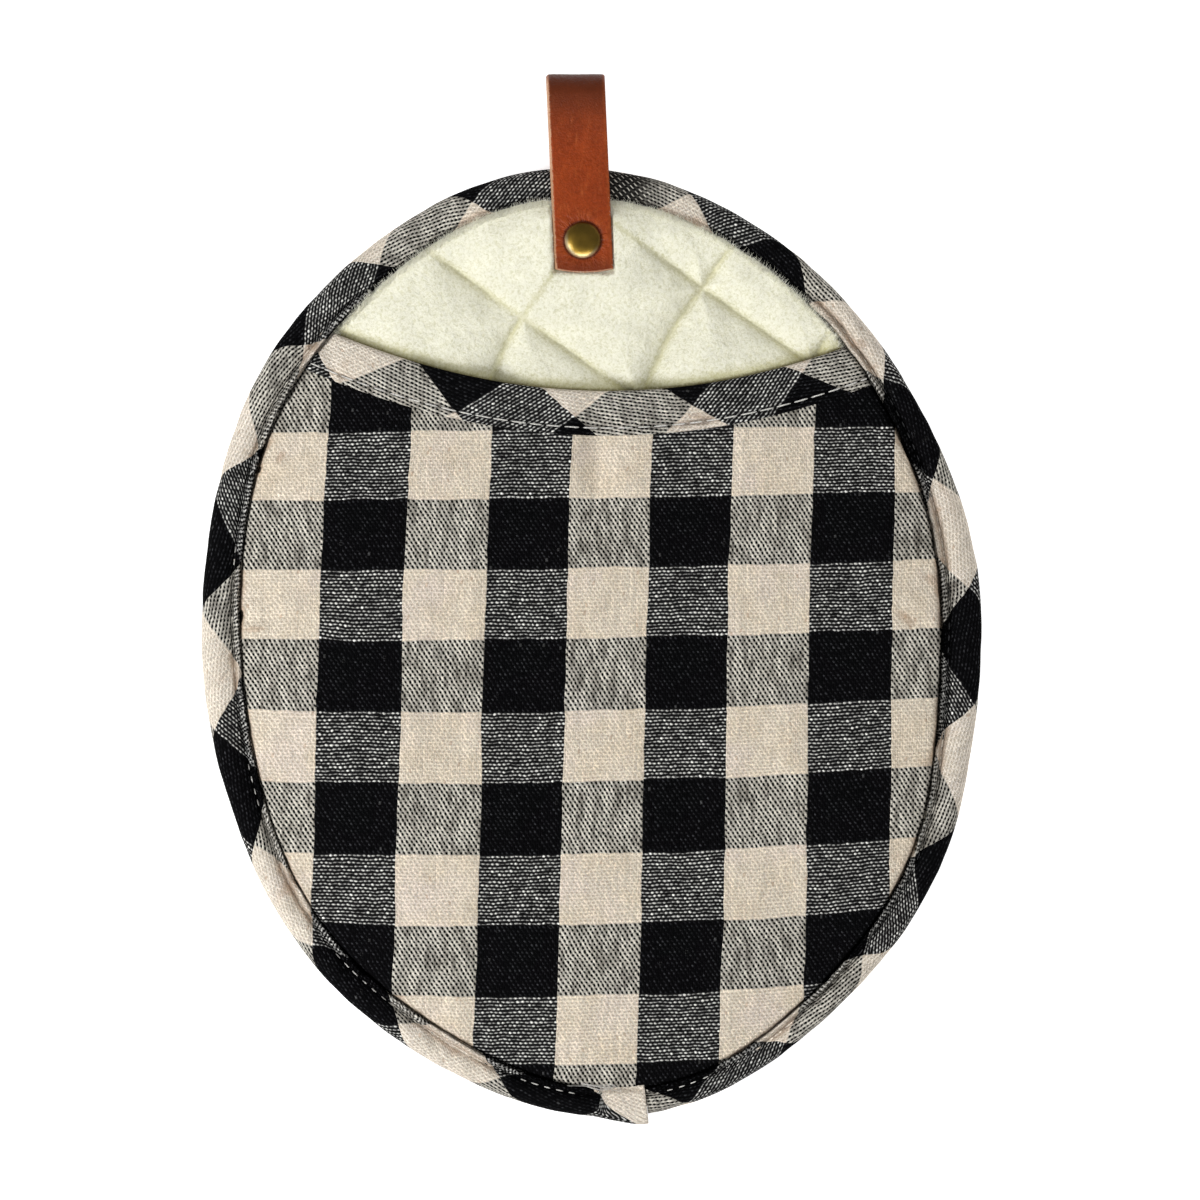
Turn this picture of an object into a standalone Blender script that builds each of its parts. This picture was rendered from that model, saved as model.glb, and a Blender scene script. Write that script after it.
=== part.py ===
# Pocket pot holder, lying on its back with its face up: a quilted oval pad, a gingham hand pocket
# with a bound mouth, bias binding round the rim and a riveted leather hanging loop.
# X is the width, Y the height with the loop at +Y, and Z the thickness.
# Every length below is in millimetres, and every angle in degrees.

import math

import bmesh
import bpy
import numpy as np
from mathutils import Vector
from mathutils.geometry import delaunay_2d_cdt

MM = 0.001
GAP = 0.3  # clear space kept between two pieces

# ---- plan: the rim, the binding's width and the pocket mouth ----

BODY_CENTRE = (0.0, -11.0)  # the rim's angles are taken about this point
RIM_HARMONICS = 8
RIM_COLUMNS = ("x", "y")
RIM_ROWS = [
    (-1.6, 107.8), (12.0, 106.5), (25.1, 102.3), (37.1, 95.9), (48.3, 88.9), (58.1, 80.5),
    (65.9, 72.4), (72.9, 63.6), (79.9, 51.6), (90.4, 31.4), (96.6, 7.9), (97.6, -11.4),
    (96.6, -28.0), (93.1, -48.4), (88.4, -65.1), (81.4, -77.9), (71.5, -91.9), (59.1, -104.7),
    (46.3, -114.6), (31.7, -123.2), (16.1, -128.6), (-3.1, -129.2), (-19.3, -125.0), (-32.4, -119.7),
    (-46.1, -112.0), (-55.4, -105.4), (-68.8, -92.2), (-80.9, -74.7), (-86.5, -62.0), (-92.6, -46.0),
    (-95.8, -30.1), (-97.7, -10.1), (-96.1, 14.9), (-90.2, 41.2), (-79.6, 62.3), (-60.9, 84.6),
    (-46.8, 94.6), (-32.6, 102.3), (-15.1, 107.3),
]

BAND_HARMONICS = 7
BAND_COLUMNS = ("angle", "width")  # how far the edge binding reaches in over the face
BAND_ROWS = [
    (88, 7.7), (76, 6.2), (66, 7.9), (50, 7.9), (39, 6.8), (31, 8.2), (22, 9.4), (8, 10.1),
    (-10, 9.4), (-24, 9.0), (-38, 8.3), (-50, 6.4), (-63, 7.8), (-74, 6.3), (-81, 6.3), (-92, 7.5),
    (-104, 8.0), (-118, 8.4), (-130, 8.2), (-145, 8.0), (-160, 9.4), (-173, 9.6), (180, 10.0),
    (168, 9.2), (150, 8.9), (135, 9.5), (118, 9.3), (106, 7.4), (98, 8.4),
]

MOUTH_COLUMNS = ("x", "y")  # the mouth binding's upper edge
MOUTH_ROWS = [
    (-65.0, 67.1), (-44.6, 59.4), (-18.6, 53.9), (6.1, 52.2), (28.6, 53.9), (51.8, 59.4), (64.4, 63.6),
]
MOUTH_BAND = 11.2  # width of the binding folded over the mouth
MOUTH_LINES = (4.6, 8.0, MOUTH_BAND)  # where strip and panel share lines of points

# ---- quilting: two families of channels at right angles ----

QUILT_PITCH = 32.3
QUILT_ANGLE = -35.5
QUILT_CROSSING = (-17.4, 70.6)
QUILT_DRIFT = 4.0  # the steeper family wanders this far sideways below the crossing
QUILT_DRIFT_SPAN = 26.0
QUILT_STOPS = (0.0, 4.5, 11.5, 20.8, 27.8)  # where the mesh lines run within one pitch
QUILT_DEPTH = 2.8
QUILT_REACH = 11.5  # how far a pillow rounds off beside its channel
BACK_CHANNEL_DEPTH = 0.9
BACK_CHANNEL_REACH = 4.4

# ---- thickness: the layers at the rim, from the surface up ----

EDGE_CLOTH = 1.1  # folded bias strip at the rim
MOUTH_CLOTH = 0.8  # the same strip pressed flat over the mouth
PANEL_CLOTH = 1.4
PAD_RIM_LOW = EDGE_CLOTH + GAP
PAD_RIM_HIGH = 3.6
PANEL_RIM_LOW = PAD_RIM_HIGH + GAP
EDGE_CEILING = PANEL_RIM_LOW + PANEL_CLOTH + GAP  # underside of the binding's upper ply
PAD_CREST = 8.6
PAD_RISE = 13.0  # from the binding in to the pad's full height
POCKET_RISE = 30.0
POCKET_SLACK = 5.3  # the pocket's standing height over the pad
MOUTH_SLACK = 2.1  # how much more it stands at the mouth
RIM_INSET = 2.0  # pad and pocket stop this far inside the binding's outer side
LIP_CLEARANCE = 0.4

STRAP_LIFT_LOW = 3.6  # how far the loop's back leg raises the underside
STRAP_LIFT_HIGH = 1.9  # and the upper side, where the padding gives
CORNER_RISE = 2.2  # extra plies where the mouth binding runs under the edge binding

LAP_START = -91.0  # the edge binding's finishing end, lapped over its beginning
LAP_END = -83.2
LAP_EDGE = 0.25
LAP_PROUD = 2.4
LAP_THICK = 0.5

FOLD_COLUMNS = ("x", "y", "angle", "length", "width", "height")  # soft creases in the pocket
FOLD_ROWS = [
    (2.0, 22.0, 88, 60, 9, 0.6),
    (-58.0, 20.0, 150, 46, 10, 0.7),
    (-60.0, -22.0, 12, 44, 10, -0.6),
    (60.0, -6.0, 170, 44, 10, 0.7),
    (40.0, -60.0, -52, 50, 11, -0.6),
    (-30.0, -74.0, 60, 48, 11, 0.6),
]

# ---- leather loop and rivet ----

STRAP_WIDTH = 15.2
STRAP_THICK = 2.0
STRAP_EDGE = 1.1  # thickness left at the strap's worn long edges
STRAP_END = (-1.9, 81.7)
STRAP_TOP = 131.25
STRAP_LEAN = -0.0445  # sideways drift for each millimetre up
STRAP_END_BOW = 0.9
FRONT_LEG = 10.4  # height of the front leg's middle
BACK_LEG = 2.3
EYE_HIGH = 11.0  # height of the leather's middle over and under the eye
EYE_LOW = STRAP_THICK / 2
PRESSED_PAD = 9.1  # the pad's height under the front leg
RIVET_Y = 89.8
CAP_RADIUS = 4.5
POST_RADIUS = 1.5
WASHER_RADIUS = 4.3
WASHER_THICK = 1.0

RIM_STEPS = 80
PANEL_CELL = 9.0
SMOOTH_LIMIT = 50.0  # edges sharper than this stay crisp


# ---- small mathematics ----

def smooth_step(t):
    t = np.clip(t, 0.0, 1.0)
    return t * t * (3.0 - 2.0 * t)


def plateau(distance, inner, outer):
    # One as far as inner, then a smooth fall to zero at outer.
    return 1.0 - smooth_step((distance - inner) / (outer - inner))


def ease_out(t, power=2.0):
    # Quick at first and level at the end.
    return 1.0 - (1.0 - np.clip(t, 0.0, 1.0)) ** power


def harmonics(angle, order):
    angle = np.asarray(angle, dtype=float)
    terms = [np.ones_like(angle)]
    for k in range(1, order + 1):
        terms.append(np.cos(k * angle))
        terms.append(np.sin(k * angle))
    return np.stack(terms, axis=-1)


def closed_curve(angles, values, order):
    # The smooth closed curve of a few harmonics that runs nearest to the rows.
    weights = np.linalg.lstsq(harmonics(angles, order), np.asarray(values), rcond=None)[0]

    def value_at(angle):
        return harmonics(angle, order) @ weights

    return value_at


def rim_curve():
    rows = np.array(RIM_ROWS) - np.array(BODY_CENTRE)
    angles = np.arctan2(rows[:, 1], rows[:, 0])
    return closed_curve(angles, np.hypot(rows[:, 0], rows[:, 1]), RIM_HARMONICS)


def band_curve():
    rows = np.array(BAND_ROWS, dtype=float)
    return closed_curve(np.radians(rows[:, 0]), rows[:, 1], BAND_HARMONICS)


rim_radius = rim_curve()
band_width = band_curve()
mouth_line = np.polynomial.Polynomial.fit(
    [row[0] for row in MOUTH_ROWS], [row[1] for row in MOUTH_ROWS], 3
)
mouth_slope = mouth_line.deriv()


# ---- places in plan ----

def rim_place(angle, inset):
    # The point that lies this far inside the rim, on the ray at this angle.
    reach = rim_radius(angle) - inset
    return BODY_CENTRE[0] + reach * np.cos(angle), BODY_CENTRE[1] + reach * np.sin(angle)


def rim_read(x, y):
    # The inverse: a point's angle and how far inside the rim it lies.
    dx = np.asarray(x, dtype=float) - BODY_CENTRE[0]
    dy = np.asarray(y, dtype=float) - BODY_CENTRE[1]
    angle = np.arctan2(dy, dx)
    return angle, rim_radius(angle) - np.hypot(dx, dy)


def mouth_place(x, inward):
    # A point on the mouth's edge, moved square to that edge into the pocket.
    slope = mouth_slope(x)
    stretch = np.sqrt(1.0 + slope * slope)
    return x + inward * slope / stretch, mouth_line(x) - inward / stretch


def mouth_meets(inward, side, inset, past_band):
    # Where a line parallel to the mouth's edge reaches an inset from the rim,
    # by halving the span; past_band counts that inset from the binding's inner edge.
    near = np.zeros_like(np.asarray(inward, dtype=float))
    far = near + side * 100.0
    for _ in range(40):
        middle = (near + far) / 2
        angle, depth = rim_read(*mouth_place(middle, inward))
        inside = depth > inset + past_band * band_width(angle)
        near = np.where(inside, middle, near)
        far = np.where(inside, far, middle)
    return near


def corner_angles():
    angles = []
    for side in (-1.0, 1.0):
        x = mouth_meets(MOUTH_BAND / 2, side, 0.0, 0.5)
        angles.append(float(rim_read(*mouth_place(x, MOUTH_BAND / 2))[0]))
    return angles


LEFT_CORNER, RIGHT_CORNER = corner_angles()


def strap_middle(y):
    return STRAP_END[0] + (y - STRAP_END[1]) * STRAP_LEAN


# ---- heights: each is a function of the place in plan ----

def corner_bump(angle):
    # The swelling where the mouth binding's ends are sewn in under the edge binding.
    reach = rim_radius(angle)
    nearest = np.minimum(np.abs(angle - LEFT_CORNER), np.abs(angle - RIGHT_CORNER)) * reach
    return plateau(nearest, 13.0, 27.0)


def open_face(angle):
    # One along the rim above the mouth, where no pocket is sewn in, and zero below it.
    reach = rim_radius(angle)
    above = np.minimum(angle - RIGHT_CORNER, LEFT_CORNER - angle) * reach
    return smooth_step((above - 15.0) / 15.0)


def strap_lift(x, y):
    angle = rim_read(x, y)[0]
    rim_x = rim_place(angle, 0.0)[0]
    upper = smooth_step((y - 60.0) / 16.0)
    return plateau(np.abs(rim_x - strap_middle(RIVET_Y)), 18.0, 38.0) * upper


def quilt_drift(y):
    return QUILT_DRIFT * smooth_step((QUILT_CROSSING[1] - y) / QUILT_DRIFT_SPAN)


def quilt_distances(x, y):
    # Distances to the nearest channel of each family.
    turn = math.radians(QUILT_ANGLE)
    dx = np.asarray(x, dtype=float) - QUILT_CROSSING[0]
    dy = np.asarray(y, dtype=float) - QUILT_CROSSING[1]
    along = dx * math.cos(turn) + dy * math.sin(turn) - quilt_drift(y)
    across = dy * math.cos(turn) - dx * math.sin(turn)
    nearest = []
    for place in (along, across):
        nearest.append(np.abs(place - QUILT_PITCH * np.round(place / QUILT_PITCH)))
    return nearest


def channel(x, y, reach):
    # One on a sewn line, rounding off to zero at reach on each side of it.
    first, second = quilt_distances(x, y)
    first = np.clip(1.0 - first / reach, 0.0, 1.0) ** 2
    second = np.clip(1.0 - second / reach, 0.0, 1.0) ** 2
    return np.maximum(first, second)


def pad_envelope(x, y):
    # The pad's upper side without its channels.
    angle, inset = rim_read(x, y)
    lift = strap_lift(x, y)
    rim = PAD_RIM_HIGH + (EDGE_CEILING - GAP - PAD_RIM_HIGH) * open_face(angle) + STRAP_LIFT_HIGH * lift
    rise = ease_out((inset - band_width(angle) - LIP_CLEARANCE) / PAD_RISE)
    crest = PAD_CREST + 1.2 * lift
    return rim, rise, crest


def pad_top(x, y):
    rim, rise, crest = pad_envelope(x, y)
    pillow = crest - QUILT_DEPTH * channel(x, y, QUILT_REACH)
    pressed = plateau(np.abs(x - strap_middle(y)), 12.0, 26.0) * smooth_step((y - 66.0) / 9.0)
    full = pillow + (PRESSED_PAD - pillow) * pressed
    return rim + (full - rim) * rise


def pad_bottom(x, y):
    angle, inset = rim_read(x, y)
    lift = strap_lift(x, y)
    drop = smooth_step((inset - band_width(angle) - LIP_CLEARANCE) / 4.0)
    back_channel = BACK_CHANNEL_DEPTH * channel(x, y, BACK_CHANNEL_REACH) * (1.0 - lift)
    return STRAP_LIFT_LOW * lift + PAD_RIM_LOW * (1.0 - drop) + back_channel * drop


def soft_folds(x, y):
    total = np.zeros_like(np.asarray(x, dtype=float))
    for fold_x, fold_y, angle, length, width, height in FOLD_ROWS:
        turn = math.radians(angle)
        along = (x - fold_x) * math.cos(turn) + (y - fold_y) * math.sin(turn)
        across = (y - fold_y) * math.cos(turn) - (x - fold_x) * math.sin(turn)
        total = total + height * np.exp(-(along / (0.5 * length)) ** 2 - (across / width) ** 2)
    return total


def panel_bottom(x, y):
    angle, inset = rim_read(x, y)
    depth = inset - band_width(angle) - LIP_CLEARANCE
    pad_rise = ease_out(depth / PAD_RISE)
    pad = PAD_RIM_HIGH + (PAD_CREST - PAD_RIM_HIGH) * pad_rise
    slack = POCKET_SLACK + MOUTH_SLACK * smooth_step((y + 20.0) / 75.0) + soft_folds(x, y)
    corner = CORNER_RISE / 2 * corner_bump(angle) * (1.0 - pad_rise)
    return pad + GAP + corner + slack * ease_out(depth / POCKET_RISE, 2.2)


def panel_top(x, y):
    return panel_bottom(x, y) + PANEL_CLOTH


# ---- meshes ----

def clear_scene():
    for item in list(bpy.data.objects):
        bpy.data.objects.remove(item, do_unlink=True)


def finish_material(name, colour, roughness, metallic):
    material = bpy.data.materials.new(name)
    material.use_nodes = True
    shader = material.node_tree.nodes["Principled BSDF"]
    shader.inputs["Base Color"].default_value = (*colour, 1.0)
    shader.inputs["Roughness"].default_value = roughness
    shader.inputs["Metallic"].default_value = metallic
    return material


def add_object(name, points, faces, material):
    mesh = bpy.data.meshes.new(name)
    mesh.from_pydata([tuple(MM * value for value in point) for point in points], [], faces)
    mesh.validate()
    body = bmesh.new()
    body.from_mesh(mesh)
    bmesh.ops.recalc_face_normals(body, faces=body.faces[:])
    body.to_mesh(mesh)
    body.free()
    mesh.shade_smooth()
    mesh.set_sharp_from_angle(angle=math.radians(SMOOTH_LIMIT))
    mesh.materials.append(material)
    item = bpy.data.objects.new(name, mesh)
    bpy.context.collection.objects.link(item)
    return item


def loop_edges(first, count):
    return [(first + k, first + (k + 1) % count) for k in range(count)]


def sheet_solid(name, loops, inner_points, low, high, material):
    # A solid between two height functions over a plan region: the first loop is the
    # region's border, any further loop is a hole, and the inner points carry its form.
    places = []
    edges = []
    for loop in loops:
        edges += loop_edges(len(places), len(loop))
        places += loop
    on_hole = range(len(loops[0]), len(places))
    places += inner_points
    flat = [Vector(place) for place in places]
    inside_only = 1
    plan, _, triangles, origins, _, _ = delaunay_2d_cdt(flat, edges, [], inside_only, 1e-5)
    triangles = [face for face in triangles if not all(origins[k][0] in on_hole for k in face)]
    x = np.array([place.x for place in plan])
    y = np.array([place.y for place in plan])
    count = len(plan)
    lower = list(zip(x, y, low(x, y)))
    upper = list(zip(x, y, high(x, y)))
    faces = []
    border = {}
    for a, b, c in triangles:
        if (x[b] - x[a]) * (y[c] - y[a]) < (x[c] - x[a]) * (y[b] - y[a]):
            b, c = c, b
        faces.append((a + count, b + count, c + count))
        faces.append((a, c, b))
        for start, end in ((a, b), (b, c), (c, a)):
            if (end, start) in border:
                del border[(end, start)]
            else:
                border[(start, end)] = True
    for start, end in border:
        faces.append((start, end, end + count, start + count))
    return add_object(name, lower + upper, faces, material)


def lofted(name, sections, closed, material):
    # Equal rings of points joined one to the next; an open run gets end caps.
    points = [tuple(point) for section in sections for point in section]
    size = len(sections[0])
    steps = len(sections) if closed else len(sections) - 1
    faces = []
    for step in range(steps):
        here = step * size
        there = (step + 1) % len(sections) * size
        for k in range(size):
            after = (k + 1) % size
            faces.append((here + k, here + after, there + after, there + k))
    if not closed:
        faces.append(tuple(reversed(range(size))))
        faces.append(tuple(range(steps * size, steps * size + size)))
    return add_object(name, points, faces, material)


def turned(name, profile, centre, steps, material):
    # A profile of radius and height turned about the vertical through centre.
    sections = []
    for step in range(steps):
        turn = 2 * math.pi * step / steps
        ring = []
        for radius, height in profile:
            ring.append((centre[0] + radius * math.cos(turn), centre[1] + radius * math.sin(turn), height))
        sections.append(ring)
    points = [point for ring in sections for point in ring]
    size = len(profile)
    faces = []
    for step in range(steps):
        here = step * size
        there = (step + 1) % steps * size
        for k in range(size - 1):
            faces.append((here + k, here + k + 1, there + k + 1, there + k))
    faces.append(tuple(step * size for step in range(steps)))
    faces.append(tuple(step * size + size - 1 for step in reversed(range(steps))))
    return add_object(name, points, faces, material)


# ---- the pieces ----

def rim_angles():
    return np.arange(RIM_STEPS) * 2 * math.pi / RIM_STEPS


def pad_insets(angle):
    # Rings of points shared by the pad and the pocket, so that they stay one gap apart.
    band = band_width(angle)
    return [RIM_INSET + 0 * band, band + LIP_CLEARANCE, band + 4.5]


def build_pad():
    angles = rim_angles()
    rings = []
    for inset in pad_insets(angles):
        rings.append(list(zip(*rim_place(angles, inset))))
    turn = math.radians(QUILT_ANGLE)
    inner = rings[1] + rings[2]
    lines = []
    for row in range(-9, 10):
        for stop in QUILT_STOPS:
            lines.append(row * QUILT_PITCH + stop)
    for along in lines:
        for across in lines:
            x = QUILT_CROSSING[0] + along * math.cos(turn) - across * math.sin(turn)
            y = QUILT_CROSSING[1] + along * math.sin(turn) + across * math.cos(turn)
            drift = quilt_drift(y)
            x += drift * math.cos(turn)
            y += drift * math.sin(turn)
            angle, inset = rim_read(x, y)
            off_hole = math.hypot(x - strap_middle(RIVET_Y), y - RIVET_Y) > POST_RADIUS + 2.5
            if inset > band_width(angle) + 7.5 and off_hole:
                inner.append((x, y))
    hole = []
    for step in range(12):
        turn = 2 * math.pi * step / 12
        radius = POST_RADIUS + 2 * GAP
        hole.append((strap_middle(RIVET_Y) + radius * math.cos(turn), RIVET_Y + radius * math.sin(turn)))
    material = finish_material("ivory_brushed_cloth", (0.87, 0.86, 0.71), 0.95, 0.0)
    sheet_solid("quilted_pad", [rings[0], hole], inner, pad_bottom, pad_top, material)


def mouth_stops(inward):
    # Places along the mouth, from under the left binding to under the right one.
    stops = [mouth_meets(inward, -1.0, RIM_INSET + 0.4, 0.0)]
    stops.append(mouth_meets(inward, -1.0, LIP_CLEARANCE, 1.0))
    left = mouth_meets(inward, -1.0, 4.5, 1.0)
    right = mouth_meets(inward, 1.0, 4.5, 1.0)
    for step in range(17):
        stops.append(left + (right - left) * step / 16)
    stops.append(mouth_meets(inward, 1.0, LIP_CLEARANCE, 1.0))
    stops.append(mouth_meets(inward, 1.0, RIM_INSET + 0.4, 0.0))
    return np.array(stops)


def build_pocket(material):
    fold_inside = MOUTH_CLOTH + GAP + 0.2
    mouth = list(zip(*mouth_place(mouth_stops(fold_inside), fold_inside)))
    angles = rim_angles()
    below = []
    for angle in angles:
        x, y = rim_place(angle, RIM_INSET)
        if y < mouth_line(x) - fold_inside - 3.0:
            below.append(angle)
    start = float(rim_read(*mouth[-1])[0])
    below.sort(key=lambda angle: (start - angle) % (2 * math.pi))
    below = np.array(below)
    border = mouth + list(zip(*rim_place(below, pad_insets(below)[0])))
    inner = []
    for inward in MOUTH_LINES:
        inner += list(zip(*mouth_place(mouth_stops(inward)[1:-1], inward)))
    for inset in pad_insets(below)[1:]:
        for x, y in zip(*rim_place(below, inset)):
            if y < mouth_line(x) - MOUTH_BAND - 3.5:
                inner.append((x, y))
    for column in range(-11, 12):
        for row in range(-14, 9):
            x = (column + 0.5 * (row % 2)) * PANEL_CELL
            y = row * PANEL_CELL
            angle, inset = rim_read(x, y)
            if inset > band_width(angle) + 8.5 and y < mouth_line(x) - MOUTH_BAND - 5.0:
                inner.append((x, y))
    sheet_solid("pocket_panel", [border], inner, panel_bottom, panel_top, material)


def build_pocket_binding(material):
    # A strip folded over the mouth's edge: lower ply, rolled edge, then upper ply.
    # Each row gives the distance in from the mouth, the side of the pocket it lies on
    # (-1 below, 0 in between, 1 above) and its distance off that side.
    near = GAP
    far = GAP + MOUTH_CLOTH
    end = MOUTH_BAND
    section = [(inward, -1, near) for inward in reversed(MOUTH_LINES)]
    section += [(MOUTH_CLOTH + 0.15, -1, near), (MOUTH_CLOTH + 0.15, 1, near)]
    section += [(inward, 1, near) for inward in MOUTH_LINES]
    section += [
        (end, 1, 0.75), (end - 0.7, 1, far), (end - 1.9, 1, far - 0.35), (end - 3.6, 1, far),
        (end * 0.45, 1, far + 0.1), (1.4, 1, far - 0.15), (0.25, 1, 0.1), (0.0, 0, 0.0),
        (0.25, -1, 0.1), (1.4, -1, far - 0.1), (end * 0.5, -1, far), (end, -1, far),
    ]
    columns = []
    for inward, side, off in section:
        x, y = mouth_place(mouth_stops(inward), inward)
        if side > 0:
            z = panel_top(x, y) + off
        elif side < 0:
            z = panel_bottom(x, y) - off
        else:
            z = (panel_top(x, y) + panel_bottom(x, y)) / 2
        columns.append(np.stack([x, y, z], axis=-1))
    sections = np.stack(columns, axis=1)
    lofted("pocket_binding", sections, False, material)


def lap(angle):
    # The lapped end grows slowly and then stops at a square cut.
    turn = np.degrees(angle) % 360.0 - 360.0
    grown = smooth_step((turn - LAP_START) / (LAP_END - LAP_START))
    return np.where(turn <= LAP_END, grown, 0.0)


def build_edge_binding(material):
    # The folded strip's section: under side, inner hollow, upper ply with its stitched
    # lip and groove, then the round outer side.
    cut = [math.radians(LAP_END) % (2 * math.pi), math.radians(LAP_END + LAP_EDGE) % (2 * math.pi)]
    angles = np.sort(np.concatenate([rim_angles(), cut]))
    angles = np.arctan2(np.sin(angles), np.cos(angles))
    band = band_width(angles)
    x, y = rim_place(angles, band / 2)
    lift = strap_lift(x, y)
    low = STRAP_LIFT_LOW * lift
    ceiling = EDGE_CEILING + STRAP_LIFT_HIGH * lift + CORNER_RISE * corner_bump(angles)
    top = ceiling + 0.12 * np.sin(17 * angles) + LAP_THICK * lap(angles)
    proud = LAP_PROUD * lap(angles)
    middle = (low + ceiling) / 2
    groove = band - 1.9
    section = [
        (band, low), (band, low + EDGE_CLOTH), (1.6, low + EDGE_CLOTH), (1.15, low + EDGE_CLOTH + 0.5),
        (1.15, ceiling - 0.5), (1.6, ceiling), (band, ceiling),
        (band, top + 0.6), (band - 0.7, top + 1.1), (groove, top + 0.65), (0.78 * groove, top + 1.15),
        (0.5 * groove, top + 1.4), (0.2 * groove - 0.5 * proud, top + 0.8),
        (0.3 - proud, top - 0.5), (-proud, middle), (0.35 - proud, low + 0.9), (1.8 - proud, low),
    ]
    columns = []
    for inset, height in section:
        x, y = rim_place(angles, inset)
        columns.append(np.stack([x, y, height + 0 * x], axis=-1))
    sections = np.stack(columns, axis=1)
    lofted("edge_binding", sections, True, material)


def loop_path():
    # The strap's middle line seen from the side, as y and z: front leg, eye, back leg.
    radius = (EYE_HIGH - EYE_LOW) / 2
    bend_y = STRAP_TOP - STRAP_THICK / 2 - radius
    bend_z = (EYE_HIGH + EYE_LOW) / 2
    path = []
    for y in (STRAP_END[1], 83.5, 86.0, 89.8, 93.6, 98.0, 104.0, 109.0):
        path.append((y, FRONT_LEG))
    for t in (0.25, 0.5, 0.75):
        path.append((109.0 + (bend_y - 109.0) * t, FRONT_LEG + (EYE_HIGH - FRONT_LEG) * smooth_step(t)))
    for step in range(13):
        turn = math.pi / 2 - math.pi * step / 12
        path.append((bend_y + radius * math.cos(turn), bend_z + radius * math.sin(turn)))
    for t in (0.75, 0.5, 0.25):
        path.append((109.0 + (bend_y - 109.0) * t, BACK_LEG + (EYE_LOW - BACK_LEG) * smooth_step(t)))
    for y in (109.0, 104.0, 98.0, 93.6, 89.8, 86.0, 83.5, STRAP_END[1]):
        path.append((y, BACK_LEG))
    return np.array(path)


def build_loop():
    path = loop_path()
    direction = np.gradient(path, axis=0)
    direction /= np.linalg.norm(direction, axis=1)[:, None]
    outward = np.stack([-direction[:, 1], direction[:, 0]], axis=1)
    across = [-1.0, -0.93, -0.6, -0.2, 0.2, 0.6, 0.93, 1.0]
    half = [STRAP_EDGE / 2] + [STRAP_THICK / 2] * 6 + [STRAP_EDGE / 2]
    sections = []
    for k, (y, z) in enumerate(path):
        outer = []
        inner = []
        to_end = min(k, len(path) - 1 - k)
        bow = STRAP_END_BOW * (1.0, 0.7, 0.3)[to_end] if to_end < 3 else 0.0
        for part, thick in zip(across, half):
            x = strap_middle(y) + part * STRAP_WIDTH / 2
            lag = bow * part * part
            outer.append((x, y + lag + outward[k, 0] * thick, z + outward[k, 1] * thick))
            inner.append((x, y + lag - outward[k, 0] * thick, z - outward[k, 1] * thick))
        sections.append(outer + inner[::-1])
    material = finish_material("tan_leather", (0.36, 0.11, 0.045), 0.55, 0.0)
    strap = lofted("hanging_loop", sections, False, material)
    steps = 16
    reach = POST_RADIUS + GAP
    profile = [(reach, 20.0), (reach, -5.0)]
    cutter = turned("rivet_hole", profile, (strap_middle(RIVET_Y), RIVET_Y), steps, material)
    cutter.hide_render = True
    cutter.display_type = "WIRE"
    cut = strap.modifiers.new("rivet_hole", "BOOLEAN")
    cut.object = cutter
    cut.operation = "DIFFERENCE"
    cut.solver = "EXACT"


def build_rivet():
    centre = (strap_middle(RIVET_Y), RIVET_Y)
    brass = finish_material("antique_brass", (0.33, 0.24, 0.10), 0.38, 1.0)
    seat = FRONT_LEG + STRAP_THICK / 2 + GAP
    foot = WASHER_THICK + GAP
    cap = [
        (0.6, seat + 1.6), (2.0, seat + 1.45), (3.2, seat + 1.05), (4.1, seat + 0.5),
        (CAP_RADIUS, seat + 0.1), (CAP_RADIUS - 0.1, seat), (POST_RADIUS, seat), (POST_RADIUS, foot),
    ]
    turned("rivet_cap", cap, centre, 24, brass)
    plain_brass = finish_material("plain_brass", (0.40, 0.30, 0.14), 0.42, 1.0)
    washer = [
        (WASHER_RADIUS - 0.4, WASHER_THICK), (WASHER_RADIUS, WASHER_THICK - 0.3),
        (WASHER_RADIUS, 0.3), (WASHER_RADIUS - 0.4, 0.0),
    ]
    turned("rivet_back", washer, centre, 24, plain_brass)


def main():
    clear_scene()
    build_pad()
    build_pocket(finish_material("gingham_panel", (0.27, 0.25, 0.22), 0.9, 0.0))
    build_pocket_binding(finish_material("gingham_mouth_strip", (0.30, 0.28, 0.25), 0.9, 0.0))
    build_edge_binding(finish_material("gingham_edge_strip", (0.24, 0.22, 0.20), 0.9, 0.0))
    build_loop()
    build_rivet()


main()
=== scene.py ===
import math

import bpy
import numpy as np
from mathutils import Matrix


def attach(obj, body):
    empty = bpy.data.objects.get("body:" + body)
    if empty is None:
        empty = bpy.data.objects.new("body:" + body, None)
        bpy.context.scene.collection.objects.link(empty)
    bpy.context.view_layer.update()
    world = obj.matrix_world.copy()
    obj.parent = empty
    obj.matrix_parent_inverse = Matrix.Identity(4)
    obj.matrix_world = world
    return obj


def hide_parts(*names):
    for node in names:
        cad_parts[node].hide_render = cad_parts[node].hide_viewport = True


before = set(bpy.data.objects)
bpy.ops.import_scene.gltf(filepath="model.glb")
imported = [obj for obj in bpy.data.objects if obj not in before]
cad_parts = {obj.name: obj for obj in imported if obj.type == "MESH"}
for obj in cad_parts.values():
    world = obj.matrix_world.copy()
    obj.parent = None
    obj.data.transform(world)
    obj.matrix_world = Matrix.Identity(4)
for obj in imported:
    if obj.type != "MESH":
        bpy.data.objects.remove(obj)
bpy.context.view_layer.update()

bpy.context.scene.view_settings.view_transform = "Standard"
mm = 0.001
print("the frame is loaded")

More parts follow.
